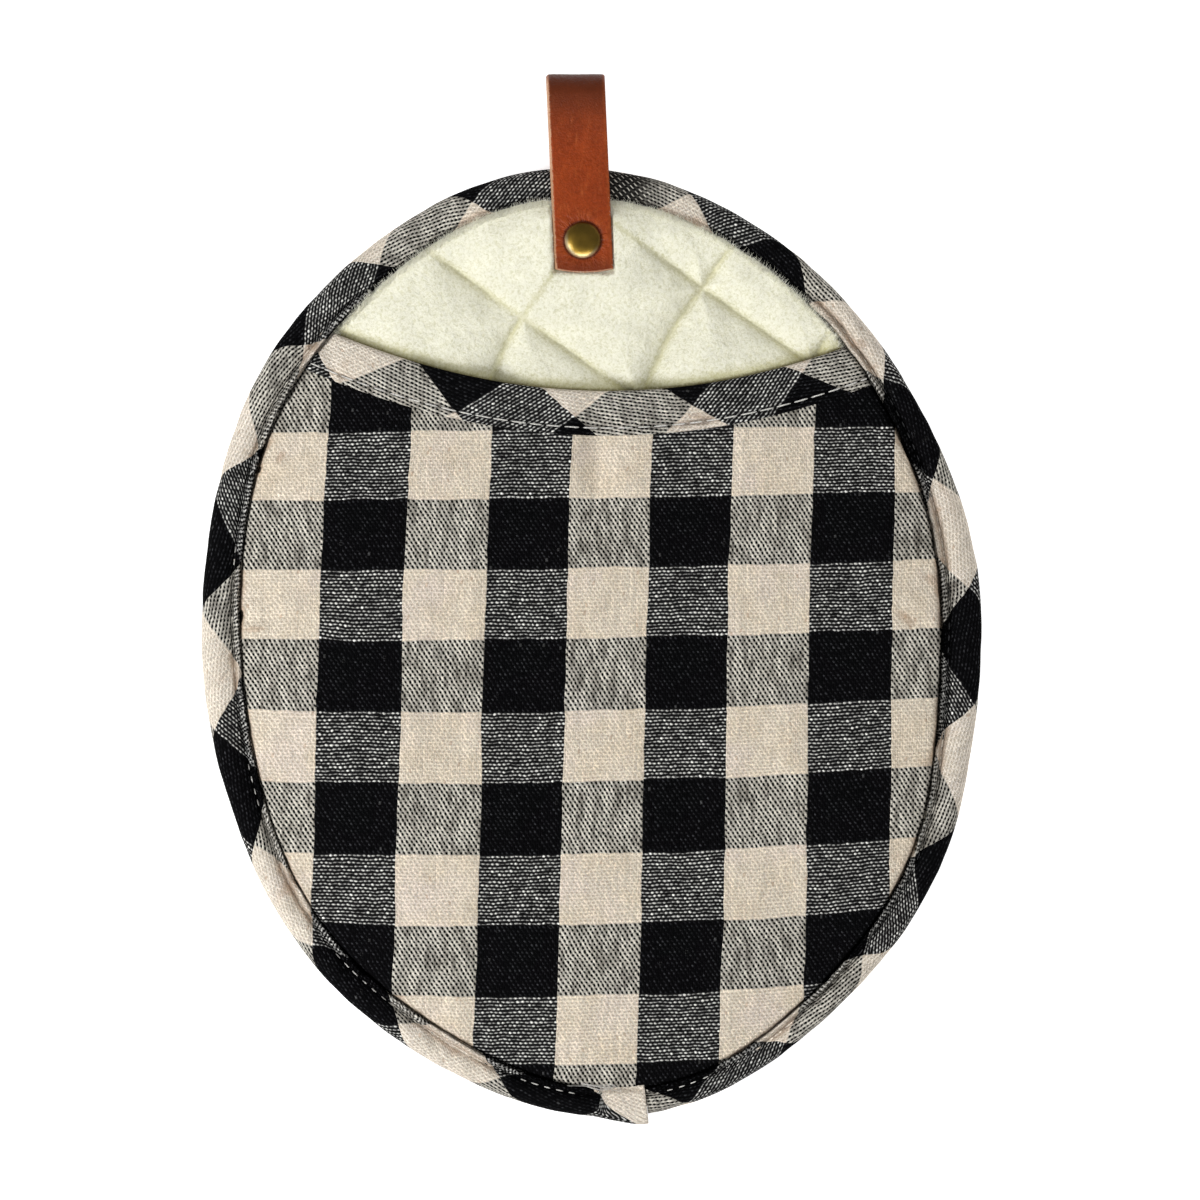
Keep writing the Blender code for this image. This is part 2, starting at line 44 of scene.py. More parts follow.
# All lengths below are millimetres until a mesh is written.
# The outline was read off the real pot holder: its rim, how far the edge binding reaches in, the mouth.
outline = {
    "centre": (0.0, -11.0),
    "rimWaves": 8,
    "rim": [
        (-1.6, 107.8), (12.0, 106.5), (25.1, 102.3), (37.1, 95.9), (48.3, 88.9), (58.1, 80.5),
        (65.9, 72.4), (72.9, 63.6), (79.9, 51.6), (90.4, 31.4), (96.6, 7.9), (97.6, -11.4),
        (96.6, -28.0), (93.1, -48.4), (88.4, -65.1), (81.4, -77.9), (71.5, -91.9), (59.1, -104.7),
        (46.3, -114.6), (31.7, -123.2), (16.1, -128.6), (-3.1, -129.2), (-19.3, -125.0), (-32.4, -119.7),
        (-46.1, -112.0), (-55.4, -105.4), (-68.8, -92.2), (-80.9, -74.7), (-86.5, -62.0), (-92.6, -46.0),
        (-95.8, -30.1), (-97.7, -10.1), (-96.1, 14.9), (-90.2, 41.2), (-79.6, 62.3), (-60.9, 84.6),
        (-46.8, 94.6), (-32.6, 102.3), (-15.1, 107.3),
    ],
    "bandWaves": 7,
    "band": [
        (88, 7.7), (76, 6.2), (66, 7.9), (50, 7.9), (39, 6.8), (31, 8.2), (22, 9.4), (8, 10.1),
        (-10, 9.4), (-24, 9.0), (-38, 8.3), (-50, 6.4), (-63, 7.8), (-74, 6.3), (-81, 6.3), (-92, 7.5),
        (-104, 8.0), (-118, 8.4), (-130, 8.2), (-145, 8.0), (-160, 9.4), (-173, 9.6), (180, 10.0),
        (168, 9.2), (150, 8.9), (135, 9.5), (118, 9.3), (106, 7.4), (98, 8.4),
    ],
    "mouth": [
        (-65.0, 67.1), (-44.6, 59.4), (-18.6, 53.9), (6.1, 52.2), (28.6, 53.9), (51.8, 59.4), (64.4, 63.6),
    ],
    "mouthBand": 11.2,
    "mouthReach": 66.0,  # the mouth's curve is read this far to either side
}

# Heights of the layers at the rim and how the padding and the pocket rise from it.
layers = {
    "gap": 0.3, "mouthCloth": 0.65, "panelCloth": 1.1, "padRimLow": 1.4, "padRimHigh": 3.6, "edgeCeiling": 5.6,
    "padCrest": 8.6, "padRise": 13.0, "coveredRise": 34.0, "pocketRise": 32.0, "pocketStep": 3.0,
    "rightStep": 0.25, "rightEarly": 0.4, "pocketSlack": 1.8, "mouthSlack": 0.8, "rimInset": 2.0,
    "lipClearance": 0.2, "mouthSwell": 1.0, "openRise": 9.0, "openStep": 2.0, "strapBulge": 2.0,
    "cornerRise": 2.2, "strapLiftLow": 3.6, "strapLiftHigh": 1.9,
}


def smoothStep(t):
    t = np.clip(t, 0.0, 1.0)
    return t * t * (3.0 - 2.0 * t)


def plateau(distance, inner, outer):  # one as far as inner, then a smooth fall to zero at outer
    return 1.0 - smoothStep((distance - inner) / (outer - inner))


def easeOut(t, power=2.0):  # quick at first, level at the end
    return 1.0 - (1.0 - np.clip(t, 0.0, 1.0)) ** power


def joined(*parts):  # arrays side by side, as the coordinates of points
    return np.stack(np.broadcast_arrays(*parts), axis=-1)


def unit(vectors):
    return vectors / np.linalg.norm(vectors, axis=-1)[..., None]


def runOf(points):  # the distance walked along a line of points
    steps = np.linalg.norm(np.diff(points, axis=0), axis=-1)
    return np.concatenate([0 * steps[:1], np.cumsum(steps, axis=0)])


def wander(x, y, cell, seed, octaves=1):
    # Chance heights that change smoothly: random values on a lattice, blended between its corners.
    total = 0.0
    for octave in range(octaves):
        table = np.random.default_rng(seed + octave).uniform(-1.0, 1.0, (64, 64))
        across, along = [np.asarray(part) * 2 ** octave / cell + 640.0 for part in (x, y)]
        i, j = np.floor(across).astype(int), np.floor(along).astype(int)
        s, t = smoothStep(across - i), smoothStep(along - j)
        low, high = [table[i % 64, k % 64] * (1 - s) + table[(i + 1) % 64, k % 64] * s for k in (j, j + 1)]
        total = total + (low * (1 - t) + high * t) / 2 ** octave
    return total


def closedCurve(angles, values, count):  # the sum of a few waves that runs nearest to the rows
    def waves(angle):
        turns = [k * np.asarray(angle, dtype=float) for k in range(1, count + 1)]
        return joined(1.0, *[wave(turn) for turn in turns for wave in (np.cos, np.sin)])

    weights = np.linalg.lstsq(waves(angles), values, rcond=None)[0]
    return lambda angle: waves(angle) @ weights


def spline(controls, count):
    # A smooth cubic curve through control points, sampled evenly from end to end.
    controls = np.asarray(controls, dtype=float)
    last = len(controls) - 1
    place = np.linspace(0, last, count)
    k = np.minimum(np.floor(place).astype(int), last - 1)
    t = (place - k).reshape((-1,) + (1,) * (controls.ndim - 1))
    before, here, after, beyond = [controls[np.clip(k + step, 0, last)] for step in (-1, 0, 1, 2)]
    return 0.5 * (
        2 * here + (after - before) * t
        + (2 * before - 5 * here + 4 * after - beyond) * t ** 2
        + (3 * here - before - 3 * after + beyond) * t ** 3
    )


centreX, centreY = outline["centre"]
rowX, rowY = (np.array(outline["rim"]) - outline["centre"]).T
rimRadius = closedCurve(np.arctan2(rowY, rowX), np.hypot(rowX, rowY), outline["rimWaves"])
bandAngles, bandReach = np.array(outline["band"], dtype=float).T
bandWidth = closedCurve(np.radians(bandAngles), bandReach, outline["bandWaves"])
mouthLine = np.polynomial.Polynomial.fit(*np.array(outline["mouth"]).T, 3)
mouthSlope = mouthLine.deriv()


def rimPlace(angle, inset):  # a point this far inside the rim on the ray at this angle
    reach = rimRadius(angle) - inset
    return centreX + reach * np.cos(angle), centreY + reach * np.sin(angle)


def rimRead(x, y):  # the inverse: a point's angle, and how far inside the rim it lies
    dx, dy = np.asarray(x, dtype=float) - centreX, np.asarray(y, dtype=float) - centreY
    angle = np.arctan2(dy, dx)
    return angle, rimRadius(angle) - np.hypot(dx, dy)


def pastLip(x, y):  # a point's angle, and how far in from the edge binding's lip it lies
    angle, inset = rimRead(x, y)
    return angle, inset - bandWidth(angle) - layers["lipClearance"]


def aboveMouth(x, y):
    reach = outline["mouthReach"]
    return y - mouthLine(np.clip(x, -reach, reach))


def mouthPlace(x, inward):  # a point on the mouth's edge, moved square to it into the pocket
    slope = mouthSlope(x)
    stretch = np.sqrt(1.0 + slope * slope)
    return x + inward * slope / stretch, mouthLine(x) - inward / stretch


def mouthSpan(inward, inset, pastBand=0.0):
    # Where a line parallel to the mouth's edge meets an inset from the rim, left and right, by halving.
    ends = []
    for side in (-100.0, 100.0):
        near = 0.0 * np.asarray(inward)
        far = near + side
        for _ in range(40):
            middle = (near + far) / 2
            angle, depth = rimRead(*mouthPlace(middle, inward))
            inside = depth > inset + pastBand * bandWidth(angle)
            near, far = np.where(inside, middle, near), np.where(inside, far, middle)
        ends.append(near)
    return ends


halfBand = outline["mouthBand"] / 2
leftCorner, rightCorner = [
    float(rimRead(*mouthPlace(x, halfBand))[0]) for x in mouthSpan(halfBand, 0.0, 0.5)
]

strap = {
    "end": (-1.9, 81.7), "lean": -0.0445, "width": 14.7, "thick": 2.0, "endBow": 0.9,
    "frontLeg": 10.4, "backLeg": 2.3, "eyeHigh": 11.0, "eyeLow": 1.0, "top": 131.6,
    "rawEdge": 0.75,  # plan width of the pale cut edge on the left
    "legRows": (81.7, 86.0, 92.0, 98.0, 104.0, 109.0),  # both legs are level along these
    "frontRun": (46.0, 54.0),  # where along the strap its front ends
    "edgeRound": 0.9, "edgeThick": 0.55, "endBowReach": 6.0,
    "alongSteps": 260, "acrossSteps": 56,
}
rivet = {
    "y": 89.8, "capRadius": 4.5, "postRadius": 1.5, "holeRadius": 1.8, "dome": 1.45, "washer": 1.0,
    "drawn": 6.0,  # how far from the rivet the leather's points are moved
    "dimple": 0.28, "sides": 72,
}


def strapMiddle(y):
    return strap["end"][0] + (y - strap["end"][1]) * strap["lean"]


rivetX = strapMiddle(rivet["y"])


def cornerBump(angle):  # the swelling where the mouth binding's ends run under the edge binding
    nearest = np.minimum(np.abs(angle - leftCorner), np.abs(angle - rightCorner)) * rimRadius(angle)
    return plateau(nearest, 13.0, 27.0)


def openFace(angle):  # one along the rim above the mouth, where no pocket is sewn in
    above = np.minimum(angle - rightCorner, leftCorner - angle) * rimRadius(angle)
    return smoothStep((above - 15.0) / 15.0)


def strapLift(x, y):  # the loop's back leg raises what lies over it
    rimX = rimPlace(rimRead(x, y)[0], 0.0)[0]
    return plateau(np.abs(rimX - rivetX), 18.0, 38.0) * smoothStep((y - 60.0) / 16.0)


quilt = {
    "pitch": 32.3, "angle": -35.5, "crossing": (-17.4, 70.6), "drift": 4.0, "driftSpan": 26.0,
    "depth": 3.9, "reach": 13.0, "backDepth": 0.9, "backReach": 4.4,
    "steep": 2.6,        # how sharply a pillow falls to its channel
    "crease": 0.85,      # the sewn line's own narrow crease
    "creaseWidth": 0.9,
    "pucker": 0.30,      # small wrinkles that run off the sewn lines
    "lump": 0.35,        # unevenness of the wadding
    "pressed": 9.1,      # the level under the strap
    "columns": 380, "rows": 310,
}


def quiltPlaces(x, y):  # how far along and across the two families of sewn lines a point lies
    turn = math.radians(quilt["angle"])
    dx, dy = x - quilt["crossing"][0], y - quilt["crossing"][1]
    drift = quilt["drift"] * smoothStep(-dy / quilt["driftSpan"])
    return dx * math.cos(turn) + dy * math.sin(turn) - drift, dy * math.cos(turn) - dx * math.sin(turn)


def quiltDistances(x, y):  # no sewn line runs into the upper left corner
    away = 14.0 * smoothStep((-43.0 - x) / 9.0) * smoothStep((y - 50.0) / 9.0)
    return [np.abs(p - quilt["pitch"] * np.round(p / quilt["pitch"])) + away for p in quiltPlaces(x, y)]


def channel(x, y, reach, steep=2.0):  # one on a sewn line, rounding off to zero at reach
    return np.maximum(*[np.clip(1.0 - d / reach, 0.0, 1.0) ** steep for d in quiltDistances(x, y)])


def riseLength(x, y, angle):  # how far in from the binding the padding reaches its full height
    shown = layers["padRise"] + (layers["openRise"] - layers["padRise"]) * openFace(angle)
    return shown + (layers["coveredRise"] - shown) * smoothStep((-aboveMouth(x, y) - 3.0) / 16.0)


def rightSide(angle):  # 1 along the right of the rim, where the cloth stands fuller beside the seam
    return smoothStep((np.cos(angle + 0.15) - 0.45) / 0.4)


def coveredStep(angle, depth):  # how steeply pad and pocket stand up beside the seam
    fuller = 1.0 + layers["rightStep"] * rightSide(angle)
    return layers["pocketStep"] * fuller * (1.0 - 0.4 * cornerBump(angle)) * smoothStep(depth / 0.7)


def padTop(x, y):
    # Rises from the binding to a crest, less the channels, the sewn creases and their wrinkles,
    # and is pressed level under the leather strap.
    angle, depth = pastLip(x, y)
    lift = strapLift(x, y)
    bare = openFace(angle)
    ceiling = layers["edgeCeiling"]
    rim = layers["padRimHigh"] + (ceiling - layers["gap"] - layers["padRimHigh"]) * bare
    rim = rim + layers["strapLiftHigh"] * lift
    rise = easeOut(depth / riseLength(x, y, angle))
    shown = smoothStep(depth / 5.0)
    first, second = quiltDistances(x, y)
    along, across = quiltPlaces(x, y)
    nearest = np.minimum(first, second)
    crease = np.exp(-(nearest / quilt["creaseWidth"]) ** 2)
    ripple = np.where(first < second, wander(across, 0, 3.4, 5), wander(along, 0, 3.4, 9))
    pucker = quilt["pucker"] * ripple * np.exp(-((nearest - 1.8) / 2.2) ** 2)
    lumps = quilt["lump"] * wander(x, y, 9.0, 21, 2) * smoothStep(nearest / 8.0)
    sunk = quilt["depth"] * channel(x, y, quilt["reach"], quilt["steep"]) * (0.2 + 0.8 * smoothStep(depth / 10.0))
    above = aboveMouth(x, y)
    swell = layers["mouthSwell"] * plateau(np.abs(above - 2.0), 2.0, 20.0) * plateau(np.abs(x), 45.0, 68.0)
    pillow = layers["padCrest"] + 1.2 * lift - sunk + swell
    fromStrap = np.abs(x - strapMiddle(y))
    pressed = plateau(fromStrap, 12.0, 26.0) * smoothStep((y - 66.0) / 9.0)
    full = pillow + (quilt["pressed"] - pillow) * pressed
    aside = np.hypot(np.maximum(fromStrap - strap["width"] / 2, 0.0), np.maximum(strap["end"][1] - y, 0.0))
    bulge = layers["strapBulge"] * smoothStep(aside / 0.4) * plateau(aside, 0.9, 13.0) * shown
    fine = (pucker + lumps - quilt["crease"] * crease) * shown * (1.0 - pressed)
    lip = ceiling + layers["strapLiftHigh"] * lift + layers["cornerRise"] * cornerBump(angle)
    open = lip + 0.4 + (layers["openStep"] - 0.4) * bare - rim
    open = open * (1.0 - 0.75 * lift) * smoothStep((depth + 0.3) / 0.6)
    covered = coveredStep(angle, depth) - 0.5 * smoothStep(depth / 0.7)
    step = covered + (open - covered) * smoothStep((above + 1.5) / 7.0)
    return rim + (full - rim) * rise + fine + bulge + step * (1.0 - rise)


def padBottom(x, y):  # level where it rests, with narrower channels than the top
    lift = strapLift(x, y)
    drop = smoothStep(pastLip(x, y)[1] / 4.0)
    groove = quilt["backDepth"] * channel(x, y, quilt["backReach"]) * (1.0 - lift)
    return layers["strapLiftLow"] * lift + layers["padRimLow"] * (1.0 - drop) + groove * drop


pocket = {
    "columns": 214, "rows": 204,
    "lowCorners": (228, 312),  # degrees at which the lower corners of the sheet's grid lie on the rim
    "meanRadius": 90.0,
    # Soft folds of the cloth: x, y, direction, length, width, height.
    "folds": [
        (2.0, 22.0, 88, 60, 9, 0.6), (-58.0, 20.0, 150, 46, 10, 0.7), (-60.0, -22.0, 12, 44, 10, -0.6),
        (60.0, -6.0, 170, 44, 10, 0.7), (40.0, -60.0, -52, 50, 11, -0.6), (-30.0, -74.0, 60, 48, 11, 0.6),
        (-46.0, -40.0, 87, 60, 3.0, 0.75), (-27.0, -88.0, 84, 44, 2.8, -0.8), (-3.0, -104.0, 86, 34, 2.6, 0.8),
        (24.0, -46.0, 92, 70, 3.6, -0.75), (49.0, -34.0, 95, 50, 3.2, 0.7), (-30.0, 8.0, 90, 50, 3.4, 0.7),
        (-10.0, -70.0, 93, 46, 3.0, -0.6), (72.0, 14.0, 84, 40, 3.4, 0.7),
    ],
    # Sharper creases, most of them where the seam draws the cloth in.
    "creases": [
        (-84.0, 30.5, 8, 12, 1.5, -0.9), (-83.0, 33.4, 12, 12, 1.6, 0.5), (-84.5, -4.6, 4, 14, 1.3, -1.0),
        (-83.5, -7.8, 2, 12, 1.4, 0.6), (81.5, -1.4, -34, 15, 1.8, 0.8), (80.0, -5.4, -34, 11, 1.6, -0.6),
        (84.5, 4.8, -40, 10, 2.2, -0.5), (79.0, 22.5, 12, 14, 1.6, -0.7), (-80.5, -46.0, 24, 13, 1.5, -0.7),
        (-66.0, -73.0, 38, 13, 1.6, -0.7), (-7.0, 36.0, 86, 32, 4.0, 1.5), (1.8, 34.0, 89, 36, 3.0, -2.1),
        (12.5, 36.0, 92, 30, 8.0, 1.4), (-22.0, 36.0, 98, 26, 3.0, 0.6), (31.0, 34.0, 84, 26, 3.2, -0.6),
        (77.0, -50.0, -20, 14, 1.6, -0.7), (-38.0, -101.0, 58, 12, 1.6, -0.7), (26.0, -112.0, 100, 12, 1.6, -0.6),
        (57.0, -88.0, -48, 13, 1.6, -0.7), (-80.0, 44.0, 160, 12, 1.7, 0.5),
    ],
    # Shade where the cloth is pinched by the seam: the same kind of rows.
    "pinches": [
        (-77.5, 36.0, 62, 6, 1.2, 0.7), (-83.1, 32.6, 72, 3, 0.7, 1.9), (-87.8, -4.3, 80, 4.4, 0.9, 2.4),
        (-84.0, -7.3, 4, 8, 0.9, 1.0), (78.2, -4.7, -34, 9, 1.7, 0.75), (85.0, 5.0, -42, 6, 2.0, 0.8),
        (74.5, -45.5, 80, 6, 2.0, 0.8), (-86.0, -26.0, 16, 6, 0.8, 0.8), (84.5, -12.5, -8, 6, 0.8, 0.9),
        (-65.0, -74.0, 40, 5, 0.9, 0.8), (58.0, -90.0, -50, 5, 0.9, 0.8),
    ],
    "pucker": 0.42,
    "weaveLump": 0.20,
}


def foldsOf(rows, x, y):  # long soft ridges: a bell curve along each fold times one across it
    total = 0.0 * x
    for foldX, foldY, angle, length, width, height in rows:
        turn = math.radians(angle)
        along = (x - foldX) * math.cos(turn) + (y - foldY) * math.sin(turn)
        across = (y - foldY) * math.cos(turn) - (x - foldX) * math.sin(turn)
        total = total + height * np.exp(-(along / (0.5 * length)) ** 2 - (across / width) ** 2)
    return total


def panelBottom(x, y):
    # Follows the pad up from the rim and stands off it by a slack that grows inwards and at the mouth.
    angle, depth = pastLip(x, y)
    padRise = easeOut(depth / riseLength(x, y, angle))
    pad = layers["padRimHigh"] + (layers["padCrest"] - layers["padRimHigh"]) * padRise
    beside = coveredStep(angle, depth) + layers["cornerRise"] / 2 * cornerBump(angle)
    slack = layers["pocketSlack"] + layers["mouthSlack"] * smoothStep((y + 20.0) / 75.0)
    slack = slack + foldsOf(pocket["folds"], x, y)
    early = layers["rightEarly"] * rightSide(angle)
    slack = slack * (early * smoothStep(depth / 2.2) + (1.0 - early) * easeOut(depth / layers["pocketRise"], 1.9))
    seam = pocket["pucker"] * wander(*rimPlace(angle, 0.0), 4.2, 31, 2)
    seam = seam * plateau(np.abs(depth - 2.5), 1.0, 6.5) * smoothStep((depth + 0.3) / 1.5)
    fine = pocket["weaveLump"] * wander(x, y, 7.0, 41, 2) * smoothStep(depth / 8.0)
    fine = fine + foldsOf(pocket["creases"], x, y) * smoothStep(depth / 1.5)
    return pad + layers["gap"] + beside * (1.0 - padRise) + slack + seam + fine


def panelTop(x, y):
    return panelBottom(x, y) + layers["panelCloth"]


def newMesh(name, points, blocks, maps=None, closed=True):
    # Points in millimetres, and blocks of faces of one size; each map gives every point two numbers.
    mesh = bpy.data.meshes.new(name)
    points = np.asarray(points, dtype=float).reshape(-1, 3) * mm
    corners = np.concatenate([block.ravel() for block in blocks]).astype(np.int32)
    sizes = np.concatenate([np.full(len(block), block.shape[1]) for block in blocks])
    mesh.vertices.add(len(points))
    mesh.vertices.foreach_set("co", points.ravel())
    mesh.loops.add(len(corners))
    mesh.loops.foreach_set("vertex_index", corners)
    mesh.polygons.add(len(sizes))
    mesh.polygons.foreach_set("loop_start", (np.cumsum(sizes) - sizes).astype(np.int32))
    mesh.update(calc_edges=True)
    for title, values in (maps or {}).items():
        layer = mesh.uv_layers.new(name=title)
        layer.data.foreach_set("uv", np.asarray(values, dtype=float).reshape(-1, 2)[corners].ravel())
    mesh.validate()
    mesh.calc_loop_triangles()
    triangles = np.empty(len(mesh.loop_triangles) * 3, dtype=np.int32)
    mesh.loop_triangles.foreach_get("vertices", triangles)
    a, b, c = points[triangles].reshape(-1, 3, 3).transpose(1, 0, 2)
    if closed and np.sum(a * np.cross(b, c)) < 0:  # the volume that the faces enclose, six times over
        mesh.flip_normals()
    mesh.shade_smooth()
    item = bpy.data.objects.new(name, mesh)
    bpy.context.collection.objects.link(item)
    return item


def slab(name, top, bottom, maps, kept=None):
    # Two sheets of points on one grid, closed by walls along every border of the kept cells.
    index = np.arange(top[..., 0].size).reshape(top.shape[:2])
    under = index.size
    a, b, c, d = index[:-1, :-1], index[:-1, 1:], index[1:, 1:], index[1:, :-1]
    kept = a >= 0 if kept is None else kept
    padded = np.pad(kept, 1)
    cells = joined(a, b, c, d)[kept]
    faces = [cells, cells[:, ::-1] + under]
    for start, end, there in (
        (a, b, padded[:-2, 1:-1]), (b, c, padded[1:-1, 2:]), (c, d, padded[2:, 1:-1]), (d, a, padded[1:-1, :-2]),
    ):
        faces.append(joined(start, start + under, end + under, end)[kept & ~there])
    faces = np.concatenate(faces)
    used = np.unique(faces)
    points = np.concatenate([top.reshape(-1, 3), bottom.reshape(-1, 3)])[used]
    maps = {title: np.concatenate([values.reshape(-1, 2)] * 2)[used] for title, values in maps.items()}
    return newMesh(name, points, [np.searchsorted(used, faces)], maps)


def rods(name, rings, poles=None, maps=None):
    # Closed rods in one mesh: rings of points along each, ended by fans to its poles or by flat faces.
    count, steps, sides = rings.shape[:3]
    index = np.arange(steps * sides).reshape(steps, sides)
    after = np.roll(index, -1, axis=1)
    points = rings.reshape(count, -1, 3)
    blocks = [joined(index[:-1], index[1:], after[1:], after[:-1]).reshape(-1, 4)]
    if poles is None:
        blocks += [index[:1], index[-1:, ::-1]]
    else:
        points = np.concatenate([points, poles], axis=1)
        blocks += [joined(after[0], steps * sides, index[0]), joined(index[-1], steps * sides + 1, after[-1])]
    starts = np.arange(count)[:, None, None] * points.shape[1]
    return newMesh(name, points, [(block + starts).reshape(-1, block.shape[1]) for block in blocks], maps)


def strands(name, lines, girth, sides, poles=None):
    # Rods along lines of points: circles about the line from end to end, with the girth for radius.
    direction = lines[:, -1] - lines[:, 0]
    side = unit(np.cross(direction, [0.0, 0.0, 1.0]))
    up = unit(np.cross(side, direction))
    turns = np.arange(sides)[:, None] * math.tau / sides
    ring = np.cos(turns) * side[:, None, None] + np.sin(turns) * up[:, None, None]
    return rods(name, lines[:, :, None] + ring * girth[:, None, None], poles)


def dress(piece, material, node=None):  # its material, body and slot, and the node it stands for
    piece.data.materials.append(material)
    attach(piece, "root")
    if node:
        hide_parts(node)
    return piece


class Value:
    # A number in a shader: arithmetic on it adds Math nodes to its material.
    def __init__(self, paint, socket):
        self.paint = paint
        self.socket = socket

    def math(self, operation, *numbers):
        return self.paint.node("ShaderNodeMath", {"operation": operation}, dict(enumerate(numbers)))

    __add__ = __radd__ = lambda self, other: self.math("ADD", self, other)
    __mul__ = __rmul__ = lambda self, other: self.math("MULTIPLY", self, other)
    __sub__ = lambda self, other: self.math("SUBTRACT", self, other)
    __rsub__ = lambda self, other: self.math("SUBTRACT", other, self)
    __truediv__ = lambda self, other: self.math("DIVIDE", self, other)
    __mod__ = lambda self, other: self.math("FLOORED_MODULO", self, other)
    __pow__ = lambda self, other: self.math("POWER", self, other)
    __lt__ = lambda self, other: self.math("LESS_THAN", self, other)
    __gt__ = lambda self, other: self.math("GREATER_THAN", self, other)  # also what 0.9 < value asks for
    largest = lambda self, other: self.math("MAXIMUM", self, other)
    floor = lambda self: self.math("FLOOR", self)
    cosine = lambda self: self.math("COSINE", self)
    size = lambda self: self.math("ABSOLUTE", self)

    def between(self, low, high, start=0.0, end=1.0):  # a smooth step from start to end
        return self.paint.node(
            "ShaderNodeMapRange", {"interpolation_type": "SMOOTHSTEP"},
            {"Value": self, "From Min": low, "From Max": high, "To Min": start, "To Max": end},
        )


class Paint:
    # One material, and the one method that adds any node to it.
    def __init__(self, name, **shader):
        self.material = bpy.data.materials.new(name)
        self.material.use_nodes = True
        self.tree = self.material.node_tree
        self.shader = self.tree.nodes["Principled BSDF"]
        self.feed(self.shader, {socket.replace("_", " "): value for socket, value in shader.items()})

    def feed(self, node, inputs):
        for key, value in inputs.items():
            socket = node.inputs[key]
            if isinstance(value, Value):
                self.tree.links.new(value.socket, socket)
            elif isinstance(value, tuple) and socket.type == "RGBA":
                socket.default_value = (*value, 1.0)
            else:
                socket.default_value = value

    def node(self, kind, settings, inputs, output=0):
        made = self.tree.nodes.new(kind)
        for key, value in settings.items():
            setattr(made, key, value)
        self.feed(made, inputs)
        return Value(self, made.outputs[output])

    def parts(self, vector):
        made = self.node("ShaderNodeSeparateXYZ", {}, {0: vector})
        return [Value(self, socket) for socket in made.socket.node.outputs]

    def join(self, x, y, z):
        return self.node("ShaderNodeCombineXYZ", {}, {0: x, 1: y, 2: z})

    def place(self):
        return self.node("ShaderNodeTexCoord", {}, {}, "Object")

    def map(self, title):  # the two numbers that the piece's own map holds
        return self.parts(self.node("ShaderNodeUVMap", {"uv_map": title}, {}))[:2]

    def noise(self, vector, scale, detail=2.0, roughness=0.5, distortion=0.0):
        return self.node("ShaderNodeTexNoise", {}, {
            "Vector": vector, "Scale": scale, "Detail": detail, "Roughness": roughness, "Distortion": distortion,
        })

    def blend(self, factor, first, second):
        return self.node("ShaderNodeMix", {"data_type": "RGBA"}, {0: factor, 6: first, 7: second}, 2)

    def dim(self, colour, factor):
        return self.node("ShaderNodeVectorMath", {"operation": "SCALE"}, {0: colour, "Scale": factor})

    def bump(self, height, distance, strength=1.0):
        return self.node("ShaderNodeBump", {}, {"Height": height, "Distance": distance, "Strength": strength})

    def rivetReach(self):  # millimetres from the middle of the rivet
        x, y = self.parts(self.place())[:2]
        dx, dy = x * (1.0 / mm) - rivetX, y * (1.0 / mm) - rivet["y"]
        return dx, dy, (dx * dx + dy * dy) ** 0.5

    def finish(self, *values):
        self.feed(self.shader, dict(zip(("Base Color", "Normal", "Roughness"), values)))
        return self.material


# The gingham: plain weave, warp of fine close yarn and a thicker, wider spaced weft.
gingham = {
    "endPitch": 0.58,    # millimetres from one warp yarn to the next
    "pickPitch": 0.885,  # and from one weft yarn to the next
    "endsInCheck": 35,
    "picksInCheck": 20,
    "cream": (0.785, 0.70, 0.58),
    "creamWarm": (0.765, 0.665, 0.53),
    "creamPink": (0.785, 0.69, 0.60),
    "bleached": (0.80, 0.75, 0.69),      # the strips' cream is whiter
    "seamShade": (0.43, 0.27, 0.165),    # cream in the shade of a sewn groove
    "hollow": (0.60, 0.48, 0.34),        # painted shade between two cream yarns
    "grey": (0.56, 0.54, 0.48),          # cream warp over black weft
    "olive": (0.085, 0.08, 0.062),
    "white": (0.84, 0.83, 0.79),
    "black": (0.0023, 0.0023, 0.0026),
    # painted highlight on the ridges of black yarn
    "ridgeGleam": (0.056, 0.057, 0.062),
    "husk": (1.0, 1.0, 0.97),
    "lightReach": 1.5, "lightHeight": 0.285, "lightSlant": 0.45,  # light weft between dark warp
    "darkReach": 0.72, "darkHeight": 0.55, "darkSlant": 0.3,      # dark weft between light warp
    "ribPitch": 1.15,    # the ribs of the narrow lip beyond the sewn groove
    "bead": (0.66, 0.65, 0.62),
    "relief": 0.0002,
}


